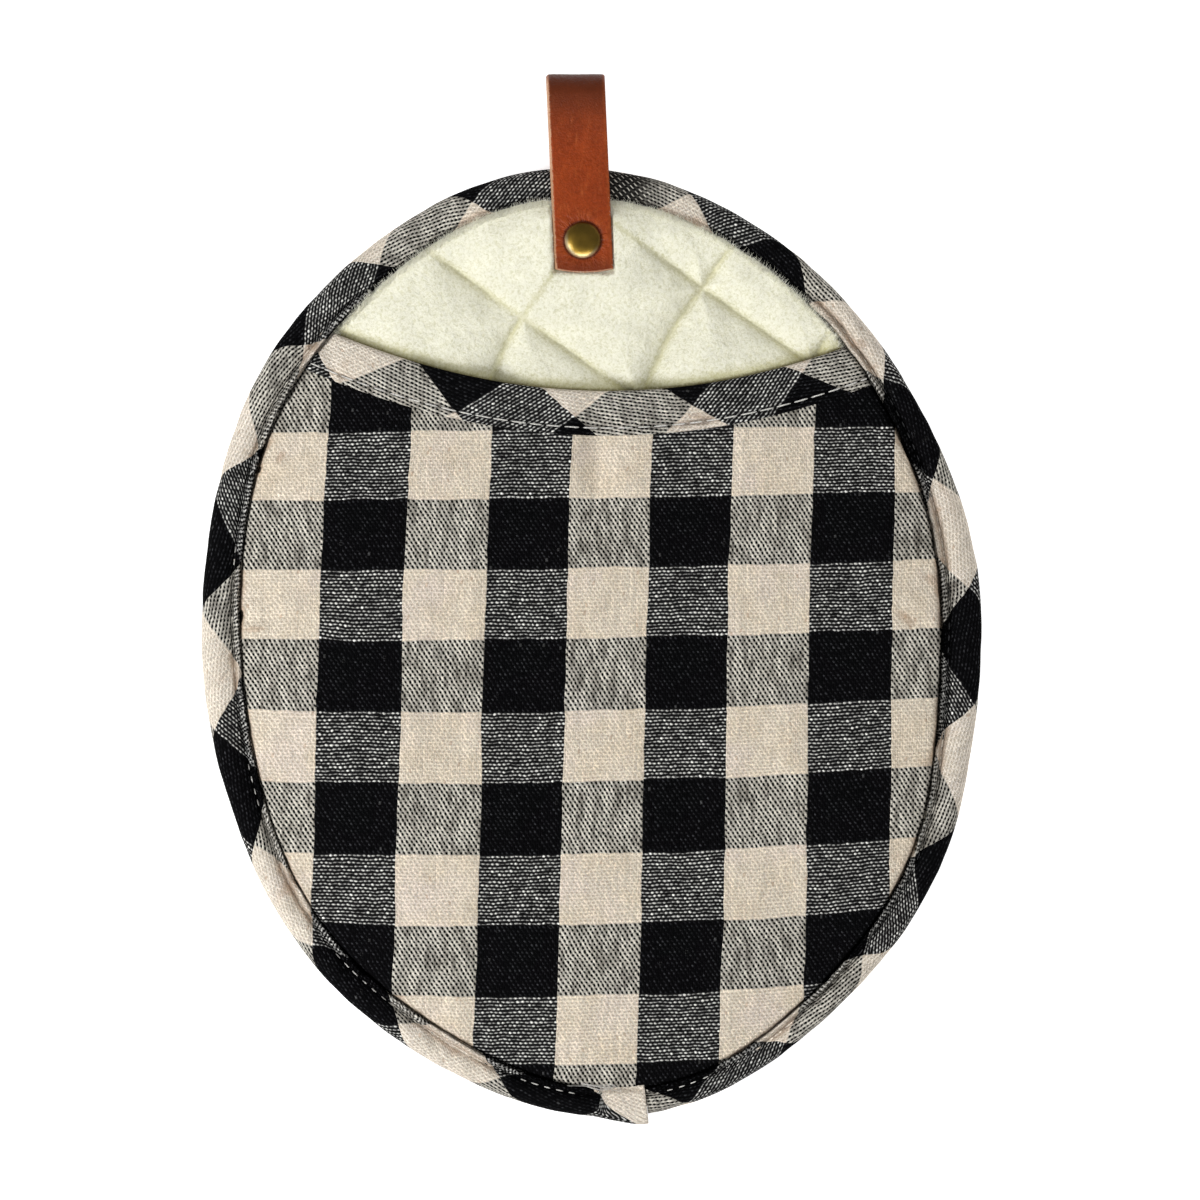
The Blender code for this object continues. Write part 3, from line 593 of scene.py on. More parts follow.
def ginghamPaint(name, shade, bleach=0.0, ribbed=False, edgeShade=1.0, pinched=False):
    # Counts yarns from the cloth map. Each crossing shows the warp or, every other time, a short
    # lens of weft; a yarn is wholly dark or wholly light, so checks step by one yarn. The seam map
    # holds millimetres from the sewn line and along it; cream darkens there by the shade.
    paint = Paint(name, Roughness=0.95, Specular_IOR_Level=0.01)
    look, noise, blend, dim = gingham, paint.noise, paint.blend, paint.dim
    ends, picks = paint.map("cloth")
    place = paint.place()
    x, y = paint.parts(place)[:2]
    flat = paint.join(x, y, 0.7)
    ends = ends + (noise(place, 55.0, 1.0) - 0.5) * 2.2 + (noise(place, 380.0, 1.0) - 0.5) * 0.9
    picks = picks + (noise(flat, 55.0, 1.0) - 0.5) * 1.6 + (noise(flat, 380.0, 1.0) - 0.5) * 0.7
    endCell, pickCell = ends.floor(), picks.floor()
    acrossEnd, acrossPick = ends - endCell - 0.5, picks - pickCell - 0.5
    over = 1.0 - ((endCell + pickCell) % 2.0) * 2.0
    endDark = (endCell % (2.0 * look["endsInCheck"])) < look["endsInCheck"] - 0.5
    pickDark = (pickCell % (2.0 * look["picksInCheck"])) < look["picksInCheck"] - 0.5

    def either(title):  # one number for light weft and another for dark
        return look["light" + title] + pickDark * (look["dark" + title] - look["light" + title])

    endSlub = noise(paint.join(endCell * 7.31, picks * 0.12, 3.0), 1.0, 2.0).between(0.3, 0.7)
    pickSlub = noise(paint.join(ends * 0.24, pickCell * 5.17, 8.0), 1.0, 3.0, 0.6).between(0.3, 0.7)
    cell = paint.join(endCell, pickCell, 0.0)
    chance = paint.node("ShaderNodeTexWhiteNoise", {"noise_dimensions": "2D"}, {"Vector": cell})
    endTone = paint.node("ShaderNodeTexWhiteNoise", {"noise_dimensions": "1D"}, {"W": endCell})
    grit = noise(place, 2500.0, 2.0).between(0.3, 0.7, 1.22, 0.78)

    swing = over * ((acrossEnd + acrossPick * either("Slant")) * math.pi).cosine()
    diagonal = over * ((acrossEnd + acrossPick) * math.pi).cosine()
    reach = either("Reach")
    height = either("Height") * (0.76 + pickSlub * 0.48) * (0.76 + chance * 0.48)
    dash = (swing + reach) / (reach + 1.0) - (acrossPick / height) ** 2.0
    weftShown = dash.between(0.0, 0.9)
    if ribbed:  # beside the loop dark weft shows between thin strands
        stretched = x.between(0.010, 0.022, 1.0, 0.0) * x.between(-0.004, 0.0) * y.between(0.09, 0.095) * pickDark
        parted = acrossEnd.size().between(0.1, 0.34).largest((endCell % 2.0) < 0.5)
        weftShown = weftShown.largest(parted * stretched * 0.96)
    hollow = diagonal.between(-0.6, 0.5)

    tone = noise(place, 150.0, 3.0, 0.6)
    cream = blend(tone.between(0.38, 0.66), look["cream"], look["creamWarm"])
    cream = blend(noise(flat, 60.0, 2.0).between(0.5, 0.7), cream, look["creamPink"])
    cream = blend(bleach, cream, look["bleached"])
    fromSeam, alongSeam = paint.map("seam")
    near = (fromSeam + (tone - 0.5) * 1.8).size().between(0.1, 1.5, shade, 0.0)
    blotch = noise(place, 210.0, 1.0).between(0.56, 0.72) * fromSeam.size().between(1.0, 6.0, 0.45, 0.0)
    shades = [near, blotch, (0.994 < chance) * 0.5]  # the last are husks caught in the yarn
    if pinched:
        # Painted shade in the creases where the seam pinches the cloth, tan at first.
        pinch = paint.map("pinch")[0]
        pinch = pinch + (tone - 0.5) * 0.9 * pinch.between(0.0, 0.3)
        shades.append(pinch.between(0.3, 0.62, 0.0, 0.42))
    for amount in shades:
        cream = blend(amount, cream, look["seamShade"])
    patch = noise(paint.join(endCell * 0.9, picks * 0.6, 5.0), 1.0, 2.0).between(0.3, 0.7)
    # Painted highlight on the ridges of black yarn, strongest mid-pick.
    ridgeGleam = (0.2 - diagonal * 0.8).largest(0.0) * (0.1 + chance * 0.9) * patch
    black = blend(ridgeGleam * acrossPick.size().between(0.1, 0.4, 1.0, 0.1), look["black"], look["ridgeGleam"])
    haze = (1.0 - pickDark) * (0.3 + pickSlub * 1.4) * 0.005
    black = blend(haze + (0.996 < chance) * 0.03, black, look["husk"])

    smudge = noise(paint.join(x * 440.0 + y * 40.0, y * 130.0 - x * 30.0, 2.0), 1.0, 2.0).between(0.32, 0.62)
    warpLight = dim(cream, (0.80 + endTone * 0.14 + endSlub * 0.26) * grit)
    greyed = dim(look["grey"], (0.25 + endSlub * 0.57 + smudge * 0.60) * grit)
    warpLight = blend(pickDark * 0.85, warpLight, greyed)
    dot = hollow * pickDark * acrossPick.size().between(0.15, 0.45, 1.0, 0.4)
    warpLight = blend(dot * (0.36 + chance * 0.6), warpLight, look["olive"])
    # Painted shade in the hollows between yarns and along their edges.
    warpLight = blend(hollow * (0.5 - pickDark * 0.5), warpLight, look["hollow"])
    warpLight = dim(warpLight, 1.0 - hollow * (0.16 + pickDark * 0.07) - acrossPick.size() * 0.28)
    weftWhite = dim(look["white"], (0.18 + pickSlub * 0.72 + chance * 0.26 + (0.95 < chance) * 0.16) * grit)
    weftCream = dim(cream, (0.82 + pickSlub * 0.26) * grit)
    warp = blend(endDark, warpLight, black)
    weft = blend(pickDark, blend(endDark, weftCream, weftWhite), look["black"])
    colour = blend(weftShown, warp, weft)
    lipHeight = 0.0
    if ribbed:
        wave = alongSeam / look["ribPitch"] + fromSeam * 0.3 + tone * 2.2 + noise(place, 700.0, 2.0) * 1.2
        wave = (wave * math.tau).cosine()
        onLip = fromSeam.between(0.2, 0.6) * fromSeam.between(2.0, 2.6, 1.0, 0.0)
        anyDark = endDark.largest(pickDark)
        mixed = anyDark - endDark * pickDark
        bead = wave.between(-0.3, 0.7) * fromSeam.between(0.3, 0.8) * fromSeam.between(1.3, 1.9, 1.0, 0.0)
        colour = blend(bead * mixed * (0.1 + chance * 0.9) * grit * 0.66, colour, look["bead"])
        # Painted lighter on the raised lip over dark cloth; painted shade between its ribs, along the sewn groove and
        # in the gap at its inner side.
        rib = (0.5 - wave * 0.5) * onLip * (0.1 + anyDark * 0.9)
        stitched = fromSeam.size().between(0.15, 0.65, 1.0, 0.0) * (0.3 + anyDark * 0.45)
        lipShadow = fromSeam.between(1.5, 1.85, 0.0, 0.8) * fromSeam.between(2.6, 3.0, 1.0, 0.0)
        colour = dim(colour, (1.0 + onLip * anyDark * 0.35 - rib - stitched) * (1.0 - lipShadow))
        lipHeight = rib * -2.2
    else:
        if pinched:
            # Painted dark notches where the pinches are deepest.
            colour = dim(colour, pinch.between(1.0, 1.35, 1.0, 0.06))
        colour = dim(colour, (fromSeam.size() + (tone - 0.5) * 2.2).between(0.15, 0.75, edgeShade, 1.0))

    ridge = 1.0 - (acrossEnd * 2.0) ** 2.0
    warpHeight = ridge * 0.5 - swing * acrossPick.size().between(0.0, 0.5, 0.45, 0.0)
    weftHeight = dash.between(0.0, 1.0, 0.35, 1.05)
    relief = paint.node("ShaderNodeMix", {"data_type": "FLOAT"}, {0: weftShown, 2: warpHeight, 3: weftHeight})
    return paint.finish(colour, paint.bump(relief + grit * 0.4 + lipHeight, look["relief"]))


print("shaders are ready")


padLook = {
    "light": (0.84, 0.825, 0.68),
    "shade": (0.655, 0.635, 0.44),
    "fibre": (0.92, 0.91, 0.80),
    # painted shade along the sewn lines, and the wider painted shadow below the mouth's edge
    "seam": (0.47, 0.44, 0.20),
    # painted shadow right under the pocket mouth's edge
    "mouthShadow": (0.11, 0.088, 0.02),
    "rowLean": 0.18,  # how much closer the rows of points lie near the top
    "nap": 0.12,
}
sewnInset = layers["rimInset"] + 0.4  # where the pocket's sheet and its binding end inside the rim


def discGrid(columns, rows, lean):
    # A square of points pressed onto a disc and then out to the rim, its rows closer near the top.
    u, v = np.meshgrid(np.linspace(-1, 1, columns), np.linspace(-1, 1, rows))
    v = v + lean * (1.0 - v * v)
    x, y = u * np.sqrt(1 - v * v / 2), v * np.sqrt(1 - u * u / 2)
    angle = np.arctan2(y, x)
    reach = np.hypot(x, y) * (rimRadius(angle) - layers["rimInset"])
    return centreX + reach * np.cos(angle), centreY + reach * np.sin(angle)


def napPaint():
    # Brushed cotton: clumps of short fibre, painted lighter at their tips and in olive shade between them, with
    # painted shade along the sewn lines and a painted shadow under the pocket mouth's edge.
    paint = Paint(
        "ivoryBrushedCotton", Roughness=0.95, Specular_IOR_Level=0.1, Sheen_Weight=0.25, Sheen_Roughness=0.6
    )
    look, noise, blend, dim = padLook, paint.noise, paint.blend, paint.dim
    place = paint.place()
    x, y, z = paint.parts(place)
    lean = paint.join(x * 0.8 + y * 0.45, y * 0.8 - x * 0.45, z)
    clumps = noise(lean, 1500.0, 3.0, 0.65, 0.6)
    fibres = noise(paint.join(x + y * 0.9, (y - x) * 0.35, z), 3600.0, 2.0, 0.6, 0.4)
    colour = blend(clumps.between(0.28, 0.60), look["shade"], look["light"])
    colour = blend(fibres.between(0.5, 0.85), colour, look["fibre"])
    colour = dim(colour, noise(place, 170.0, 2.0).between(0.3, 0.7, 0.95, 1.03))
    fromSeam, fromMouth = paint.map("seam")
    ragged = (clumps - 0.5) * 2.8
    # Painted shade along the sewn lines of the quilting.
    colour = blend((fromSeam + ragged).between(0.0, 1.5, 0.46, 0.0), colour, look["seam"])
    # Painted shadow on the pad below the pocket mouth's edge: olive over a few millimetres, darkest at the edge.
    colour = blend((fromMouth + ragged).between(0.3, 4.2, 0.75, 0.0), colour, look["seam"])
    colour = blend((fromMouth + ragged * 0.4).between(0.0, 1.1, 0.85, 0.0), colour, look["mouthShadow"])
    tufts = noise(lean, 480.0, 2.0, 0.5, 0.4)
    return paint.finish(colour, paint.bump(clumps * 0.6 + fibres * 0.25 + tufts, 0.0005, 0.8))


def makePad():
    x, y = discGrid(quilt["columns"], quilt["rows"], padLook["rowLean"])
    top = joined(x, y, padTop(x, y) + padLook["nap"] * wander(x, y, 2.2, 61, 2))
    bottom = joined(x, y, padBottom(x, y))
    seams = joined(np.minimum(*quiltDistances(x, y)), aboveMouth(x, y))
    pad = dress(slab("quiltedPad", top, bottom, {"seam": seams}), napPaint(), "quilted_pad")
    return pad


quiltedPad = makePad()
print("the pad is quilted")


# How the check lies on the pocket: cloth millimetres along each axis as a polynomial of x / 90 and y / 110.
checkLie = {
    "warp": (26.47, 90.6, -2.91, 0.59, 1.76, -1.70, -1.55, 0.19, 0.28, -1.51),
    "weft": (-8.07, -1.65, 110.2, -1.11, 0.96, 3.57, 0.24, 2.86, 0.10, 2.96),
}


def yarnCount(warp, weft):
    return joined(warp / gingham["endPitch"], weft / gingham["pickPitch"])


def panelCheck(x, y):
    u, v = x / 90.0, y / 110.0
    terms = joined(1, u, v, u * u, u * v, v * v, u ** 3, u * u * v, u * v * v, v ** 3)
    return yarnCount(*[terms @ np.array(checkLie[axis]) for axis in ("warp", "weft")])


def patchGrid(columns, rows):
    # Blends four border curves: the mouth, and the rim below it cut in three at its lower corners.
    fold = layers["mouthCloth"] + layers["gap"] + 0.2
    u, v = [t - 0.35 * np.sin(math.tau * t) / math.tau for t in (np.linspace(0, 1, columns), np.linspace(0, 1, rows))]
    start, end = mouthSpan(fold, sewnInset)
    top = joined(*mouthPlace(start + (end - start) * u, fold))
    lowLeft, lowRight = np.radians(pocket["lowCorners"])

    def border(start, end, t):
        return joined(*rimPlace(start + (end - start) * t, sewnInset))

    left = border(rimRead(*top[0])[0], lowLeft, v)[:, None]
    base = border(lowLeft, lowRight, u)
    right = border(rimRead(*top[-1])[0], lowRight - math.tau, v)[:, None]
    u, v = u[:, None], v[:, None, None]
    edges = (1 - v) * top + v * base + (1 - u) * left + u * right
    corners = (1 - v) * ((1 - u) * top[0] + u * top[-1]) + v * ((1 - u) * base[0] + u * base[-1])
    return (edges - corners)[::-1].transpose(2, 0, 1)


def makePocket():
    x, y = patchGrid(pocket["columns"], pocket["rows"])
    angle, inset = rimRead(x, y)
    maps = {
        "cloth": panelCheck(x, y),
        "seam": joined(inset - bandWidth(angle), angle * pocket["meanRadius"]),
        "pinch": joined(foldsOf(pocket["pinches"], x, y), 0),
    }
    piece = slab("pocketPanel", joined(x, y, panelTop(x, y)), joined(x, y, panelBottom(x, y)), maps)
    paint = ginghamPaint("ginghamPocket", 0.5, edgeShade=0.3, pinched=True)
    return dress(piece, paint, "pocket_panel")


pocketPanel = makePocket()
print("the pocket is cut")


mouthTrim = {
    "stations": 420,
    "grooveFromEdge": 1.9,
    "groove": 0.35,
    "pucker": 0.2,
    "stitch": 4.2,
    "stitchLength": 3.6,
    "warp": (28.28, 0.656, -0.792, 0.8),
    "weft": (20.40, -0.685, -0.759, -0.28),
}


def mouthLength(x):  # distance along the mouth's edge from x = 0
    fine = np.linspace(-90, 90, 3601)
    run = np.cumsum(np.hypot(np.gradient(fine), np.gradient(mouthLine(fine))))
    return np.interp(x, fine, run) - np.interp(0.0, fine, run)


def mouthSurface(x, inward):
    # Height of the strip's outer face over the pocket: level, with a sewn groove and its puckers,
    # and rounded off at its lower edge.
    trim = mouthTrim
    s = mouthLength(x)
    grooveAt = outline["mouthBand"] - trim["grooveFromEdge"]
    fromGroove = inward - grooveAt
    sewn = np.exp(-(fromGroove / 0.55) ** 2)
    pull = trim["pucker"] * wander(s + 0.5 * inward, 0, 3.1, 71, 2) * np.exp(-(fromGroove / 2.4) ** 2)
    swell = 0.16 * wander(s, inward, 9.0, 77) + 0.12 * np.sin(math.pi * np.clip(inward / grooveAt, 0, 1))
    edge = np.clip((outline["mouthBand"] - inward) / 0.55, 0.0, 1.0)
    off = layers["gap"] + layers["mouthCloth"] * np.sqrt(1 - (1 - edge) ** 2)
    return panelTop(*mouthPlace(x, inward)) + off - trim["groove"] * sewn + (pull + swell) * edge


def makeMouthTrim():
    # Five parts, round the strip: the rolled edge, the front, the two inner faces and the back.
    trim, band, gap, cloth = mouthTrim, outline["mouthBand"], layers["gap"], layers["mouthCloth"]
    roll = (layers["panelCloth"] + 2 * (gap + cloth)) / 2
    turns = np.linspace(-math.pi / 2, math.pi / 2, 13)[1:-1]
    front = np.concatenate([np.linspace(roll, band - 0.6, 22), band - 0.55 * np.array([0.75, 0.5, 0.25, 0.08, 0.0])])
    inside = np.array([band, band * 0.75, band * 0.5, band * 0.25, cloth + 0.35])
    back = np.array([band, band * 0.8, band * 0.6, band * 0.4, band * 0.25, roll])
    parts = [  # how far inwards from the mouth's edge, and how far across the strip
        (roll * (1.0 - np.cos(turns)), roll - roll * (math.pi / 2 - turns)), (front, front), (inside, inside),
        (inside[::-1], -inside[::-1]), (back, roll - roll * math.pi - back + roll),
    ]
    inward, across = np.concatenate(parts, axis=1)
    x = np.linspace(*mouthSpan(inward, sewnInset), trim["stations"])
    px, py = mouthPlace(x, inward)
    over, under = panelTop(px, py), panelBottom(px, py)
    lift = np.sin(np.pad(turns, (0, len(inward) - len(turns))))
    proud = mouthSurface(x, roll) - panelTop(*mouthPlace(x, roll)) - gap - cloth
    height = np.choose(np.repeat(np.arange(len(parts)), [len(part[0]) for part in parts]), [
        (over + under) / 2 + roll * lift + (0.5 + 0.5 * lift) * proud, mouthSurface(x, inward),
        over + gap * 0.8, under - gap * 0.8, under - gap - cloth,
    ])
    s = mouthLength(x)
    check = [
        start + along * s + over * across + bend * (s / 70.0) ** 2
        for start, along, over, bend in (trim["warp"], trim["weft"])
    ]
    maps = {"cloth": yarnCount(*check), "seam": joined(across - band + trim["grooveFromEdge"], s)}
    piece = rods("mouthBinding", joined(px, py, height)[None], maps=maps)
    return dress(piece, ginghamPaint("ginghamMouth", 0.3, 0.45, edgeShade=0.5), "pocket_binding")


mouthBinding = makeMouthTrim()
print("the mouth is bound")


edgeTrim = {
    "stations": 1250,
    "rings": 60,
    "lapStart": -91.0, "lapEnd": -83.2, "lapProud": 2.4, "lapThick": 0.5,
    "grooveFromEdge": 1.9,
    "lipWave": 0.40,
    "pucker": 0.34,
    "stitch": 3.3,
    "stitchLength": 2.3,
    "sewnFrom": 2.0, "leftOpen": 16.0,  # the stitches' run from its start, and short of its end
    "zero": -82.8,  # degrees at which the run along the strip is counted from
    # The check along the strip from its beginning at the lap: distance, warp and weft millimetres.
    "check": [
        (0.0, -8.04, 74.52), (65.0, 33.02, 31.05), (125.0, 69.27, -10.41), (185.0, 106.65, -49.67),
        (245.0, 146.22, -88.32), (305.0, 185.11, -131.18), (365.0, 225.13, -170.96), (425.0, 264.25, -210.32),
        (485.0, 301.66, -247.78), (545.0, 338.69, -284.93), (605.0, 377.96, -320.91), (679.0, 426.94, -366.47),
    ],
    "checkAcross": (0.712, 0.804),
}


def checkAlong(run):
    # Cloth millimetres of warp and weft at the strip's outer edge, on a smooth cubic curve through the rows.
    rows = np.array(edgeTrim["check"])
    places, values = rows[:, 0], rows[:, 1:]
    slopes = np.gradient(values, places, axis=0)
    k = np.clip(np.searchsorted(places, run) - 1, 0, len(rows) - 2)
    span = (places[k + 1] - places[k])[:, None]
    t = (run - places[k])[:, None] / span
    inside = np.clip(t, 0.0, 1.0)
    curve = values[k] + smoothStep(t) * (values[k + 1] - values[k])
    curve = curve + span * inside * (1 - inside) * ((1 - inside) * slopes[k] - inside * slopes[k + 1])
    return curve + (t - inside) * span * np.where(t > 0.5, slopes[k + 1], slopes[k])


def makeEdgeTrim():
    # Rings of points round the folded strip, at stations from beside the lap, once round, to the lapped end.
    trim = edgeTrim
    end = math.radians(trim["lapEnd"])
    angle = np.linspace(end + 0.001, end + math.tau, trim["stations"])
    run = runOf(joined(*rimPlace(angle, 0.0)))
    run = run - np.interp(math.radians(trim["zero"]), angle, run)
    lap = smoothStep((np.degrees(angle) - 360.0 - trim["lapStart"]) / (trim["lapEnd"] - trim["lapStart"]))
    angle = np.arctan2(np.sin(angle), np.cos(angle))
    band = bandWidth(angle)
    lift = strapLift(*rimPlace(angle, band / 2))
    low = layers["strapLiftLow"] * lift
    ceiling = layers["edgeCeiling"] + layers["strapLiftHigh"] * lift + layers["cornerRise"] * cornerBump(angle)
    flat = smoothStep((lap - 0.08) / 0.25)  # one where the lapped end lies flat over groove and lip
    loose = 1.0 - flat

    def waver(*how):
        return wander(run, 0, *how)

    top = ceiling + 0.22 * waver(11.0, 83, 2) + trim["lapThick"] * lap
    proud = trim["lapProud"] * lap + 0.12 * waver(7.0, 87, 2)
    bare = openFace(angle)  # above the mouth the strip runs smoothly down to the pad
    lip = band + trim["lipWave"] * waver(4.5, 91, 2) * loose + 1.3 * flat
    lipTop = top + 0.30 * waver(2.8, 95, 2) * loose - 0.3 * bare
    groove = band - trim["grooveFromEdge"] + 0.25 * waver(14.0, 97)
    pull = 0.18 * np.cos(math.tau * run / trim["stitch"]) * loose + 1.3 * flat
    outer = [  # inset and height, from the lip over the crest and the outer side to the under side
        (lip, top + 0.5), (lip - 0.05, lipTop + 1.2), (lip - 0.6, lipTop + 1.75),
        (groove + 0.5, top + 0.95 + 0.6 * flat + 0.55 * bare), (groove, top + 0.15 + pull + 1.35 * bare),
        (groove - 0.55, top + 0.85 + 0.6 * flat + 0.7 * bare),
        (0.74 * groove, top + 1.6), (0.5 * groove, top + 1.95), (0.22 * groove - 0.5 * proud, top + 1.2),
        (0.35 - proud, top - 0.4), (-proud, (low + ceiling) / 2), (0.35 - proud, low + 0.9), (1.8 - proud, low),
        (0.5 * band, low), (band, low),
    ]
    inside = [  # the hollow that holds the pad's and the pocket's edges
        (band, low + 1.1), (0.6 * band, low + 1.1), (1.7, low + 1.1), (1.15, low + 1.7), (1.15, ceiling - 0.6),
        (1.7, ceiling), (0.6 * band, ceiling), (band, ceiling),
    ]
    outer, inside = [
        np.array([np.broadcast_arrays(*place, run)[:2] for place in places]) for places in (outer, inside)
    ]
    inset, height = spline(outer, trim["rings"]).transpose(1, 0, 2)
    onTop = smoothStep((height - (ceiling + 0.2)) / 0.6) * smoothStep(inset / 1.5)
    fromGroove = inset - groove
    ripple = wander(run + 1.1 * fromGroove, 0, 2.7, 101, 2)
    pucker = trim["pucker"] * ripple * np.exp(-(fromGroove / 2.6) ** 2) * onTop * loose
    cloth = runOf(joined(inset, height))
    across = np.take_along_axis(cloth, np.argmin(inset, axis=0)[None], axis=0) - cloth
    across = np.concatenate([across] + [across[-1:]] * 4 + [across[:1]] * 4)
    beyond = np.where((onTop > 0.01) & (loose > 0.5), fromGroove - 1.3 * bare, -9.0)
    beyond = np.pad(beyond, ((0, 8), (0, 0)), constant_values=9.0)
    inset = np.concatenate([inset, inside[:, 0]])
    height = np.concatenate([np.maximum(height + pucker, low), inside[:, 1]])
    px, py = rimPlace(angle, inset)
    lapped = flat * smoothStep((across - 3.0) / 5.0)  # its end shows cream nearly all over
    warp, weft = [
        line + slant * across + shift * lapped
        for line, slant, shift in zip(checkAlong(run).T, trim["checkAcross"], (2.0, -5.5))
    ]
    rings, cloth, seam = [
        values.transpose(1, 0, 2) for values in (joined(px, py, height), yarnCount(warp, weft), joined(beyond, run))
    ]
    piece = rods("edgeBinding", rings[None], maps={"cloth": cloth, "seam": seam})
    dress(piece, ginghamPaint("ginghamEdge", 0.5, 0.45, ribbed=True), "edge_binding")
    sewn = np.argmin(np.abs(fromGroove[:30]), axis=0)[None]
    line = [np.take_along_axis(values, sewn, axis=0)[0] for values in (px, py, height, warp, weft)]
    return piece, run, line + [bare]


edgeBinding, edgeRun, edgeSeam = makeEdgeTrim()
print("the rim is bound")


fuzz = {
    "rimCount": 1700, "rimLength": (0.8, 2.3),
    "strapCount": 150, "strapLength": (0.3, 0.8),
    "radius": 0.06,
}
tab = {"frayFrom": -89.6, "frayTo": -83.5, "frayCount": 34, "frayRadius": 0.14, "tailRadius": 0.19}
threadLook = {
    "pale": (0.70, 0.68, 0.64), "dim": (0.035, 0.035, 0.038),
    "radius": 0.145, "mouthRadius": 0.19, "proud": 0.07, "sunk": 0.5,
}


def hairs(name, lines, radius):  # three-sided tubes that taper to a quarter
    return strands(name, lines, radius * (1.0 - 0.75 * np.linspace(0, 1, lines.shape[1])), 3)


def arcs(start, end, rise):  # parabolas from start to end, lifted in the middle
    t = np.linspace(0.0, 1.0, 5)[:, None]
    return start[:, None] + (end - start)[:, None] * t + np.array([0, 0, 4.0]) * rise[:, None, None] * t * (1 - t)


def makeFuzz():
    # Loose fibres of the nap that stand over the rim binding and over the edges of the strap.
    dice = np.random.default_rng(19)
    angle = dice.uniform(rightCorner + 0.06, leftCorner - 0.05, fuzz["rimCount"])
    half = strap["width"] / 2
    angle = angle[np.abs(rimPlace(angle, 4.0)[0] - rivetX) > half + 0.4]
    count = len(angle)
    root = bandWidth(angle) + layers["lipClearance"] + dice.uniform(0.5, 1.8, count)
    x, y = rimPlace(angle, root)
    aside = dice.uniform(-0.008, 0.008, count)
    endX, endY = rimPlace(angle + aside, root - dice.uniform(*fuzz["rimLength"], count))
    height = padTop(x, y)
    rim = arcs(
        joined(x, y, height - 0.05), joined(endX, endY, height + dice.uniform(0.1, 0.9, count)),
        dice.uniform(0.2, 0.7, count),
    )
    count = fuzz["strapCount"]
    y = dice.uniform(strap["end"][1], 101.0, count)
    sideways = np.where(dice.uniform(0, 1, count) < 0.5, -1.0, 1.0)
    x = strapMiddle(y) + sideways * (half + dice.uniform(0.3, 0.9, count))
    foot = dice.uniform(0, 1, count) < 0.3  # these root before the strap's end
    x = np.where(foot, strapMiddle(y) + dice.uniform(-7.0, 7.0, count), x)
    y = np.where(foot, strap["end"][1] - dice.uniform(0.2, 0.8, count), y)
    reach = dice.uniform(*fuzz["strapLength"], count)
    endX = np.where(foot, x + dice.uniform(-0.4, 0.4, count), x - sideways * reach)
    endY = np.where(foot, y + reach, y + dice.uniform(-0.5, 0.5, count))
    edge = arcs(
        joined(x, y, padTop(x, y) - 0.05), joined(endX, endY, strap["frontLeg"] + strap["thick"] / 2 + 0.15),
        dice.uniform(0.2, 0.5, count),
    )
    paint = Paint("napFibre", Roughness=0.9, Specular_IOR_Level=0.1)
    tone = paint.noise(paint.place(), 900.0, 1.0)
    paint.finish(paint.blend(tone, padLook["light"], padLook["fibre"]))
    dress(hairs("padFuzz", np.concatenate([rim, edge]), fuzz["radius"]), paint.material)


def makeFray():
    # Yarn ends at the cut edge of the lapped tab, and the tails of the sewing thread beside it.
    dice = np.random.default_rng(23)
    count = tab["frayCount"]
    angle = np.radians(np.linspace(tab["frayFrom"], tab["frayTo"], count) + dice.uniform(-0.1, 0.1, count))
    band = bandWidth(angle)
    high = layers["edgeCeiling"] + edgeTrim["lapThick"]
    x, y = rimPlace(angle, band - 0.7)
    endX, endY = rimPlace(angle + dice.uniform(-0.012, 0.002, count), band + dice.uniform(0.2, 1.1, count))
    yarns = arcs(
        joined(x, y, high + dice.uniform(1.7, 2.1, count)),
        joined(endX, endY, high + dice.uniform(1.2, 2.0, count)), dice.uniform(0.0, 0.2, count),
    )
    high = layers["edgeCeiling"] + 2.9
    tails = spline(np.array([
        [(-2.6, -120.9, high), (4.0, -120.9, high - 0.2), (-1.2, -121.6, high)],
        [(0.2, -121.3, high + 0.3), (5.4, -121.2, high + 0.4), (1.4, -122.3, high + 0.3)],
        [(3.0, -121.9, high + 0.3), (6.4, -121.9, high + 0.8), (3.6, -122.4, high + 0.3)],
        [(5.2, -121.7, high + 0.5), (7.2, -122.8, high + 0.9), (5.4, -121.3, high + 0.5)],
        [(-6.6, -121.5, high - 1.5), (-1.0, -121.2, high - 0.8), (-5.8, -121.6, high - 1.5)],
    ]), 12).transpose(1, 0, 2)
    return [
        dress(hairs(name, lines, tab[radius]), yarnPaint(yarn, tone))
        for name, lines, radius, yarn, tone in (
            ("tabFray", yarns, "frayRadius", "tabYarn", gingham["cream"]),
            ("threadTails", tails, "tailRadius", "tailThread", threadLook["pale"]),
        )
    ]


def yarnPaint(name, tone):  # twisted yarn, darker between its plies
    paint = Paint(name, Roughness=0.8, Specular_IOR_Level=0.15)
    twist = paint.noise(paint.place(), 2800.0, 1.0)
    return paint.finish(paint.dim(tone, twist.between(0.3, 0.7, 0.65, 1.1)), paint.bump(twist, 0.00008, 0.6))


def threadPaint(name, dimmed):
    # Twisted cotton thread; the rim's is pale at the lower left and dark elsewhere.
    paint = Paint(name, Roughness=0.7, Specular_IOR_Level=0.25, Sheen_Weight=0.2)
    place = paint.place()
    x, y = paint.parts(place)[:2]
    twist = paint.noise(place, 3200.0, 1.0)
    colour = threadLook["pale"]
    if dimmed:
        colour = paint.blend((x + (y + 0.09) * 0.9).between(0.0, 0.045), colour, threadLook["dim"])
    return paint.finish(paint.dim(colour, twist.between(0.3, 0.7, 0.6, 1.1)), paint.bump(twist, 0.0001, 0.6))


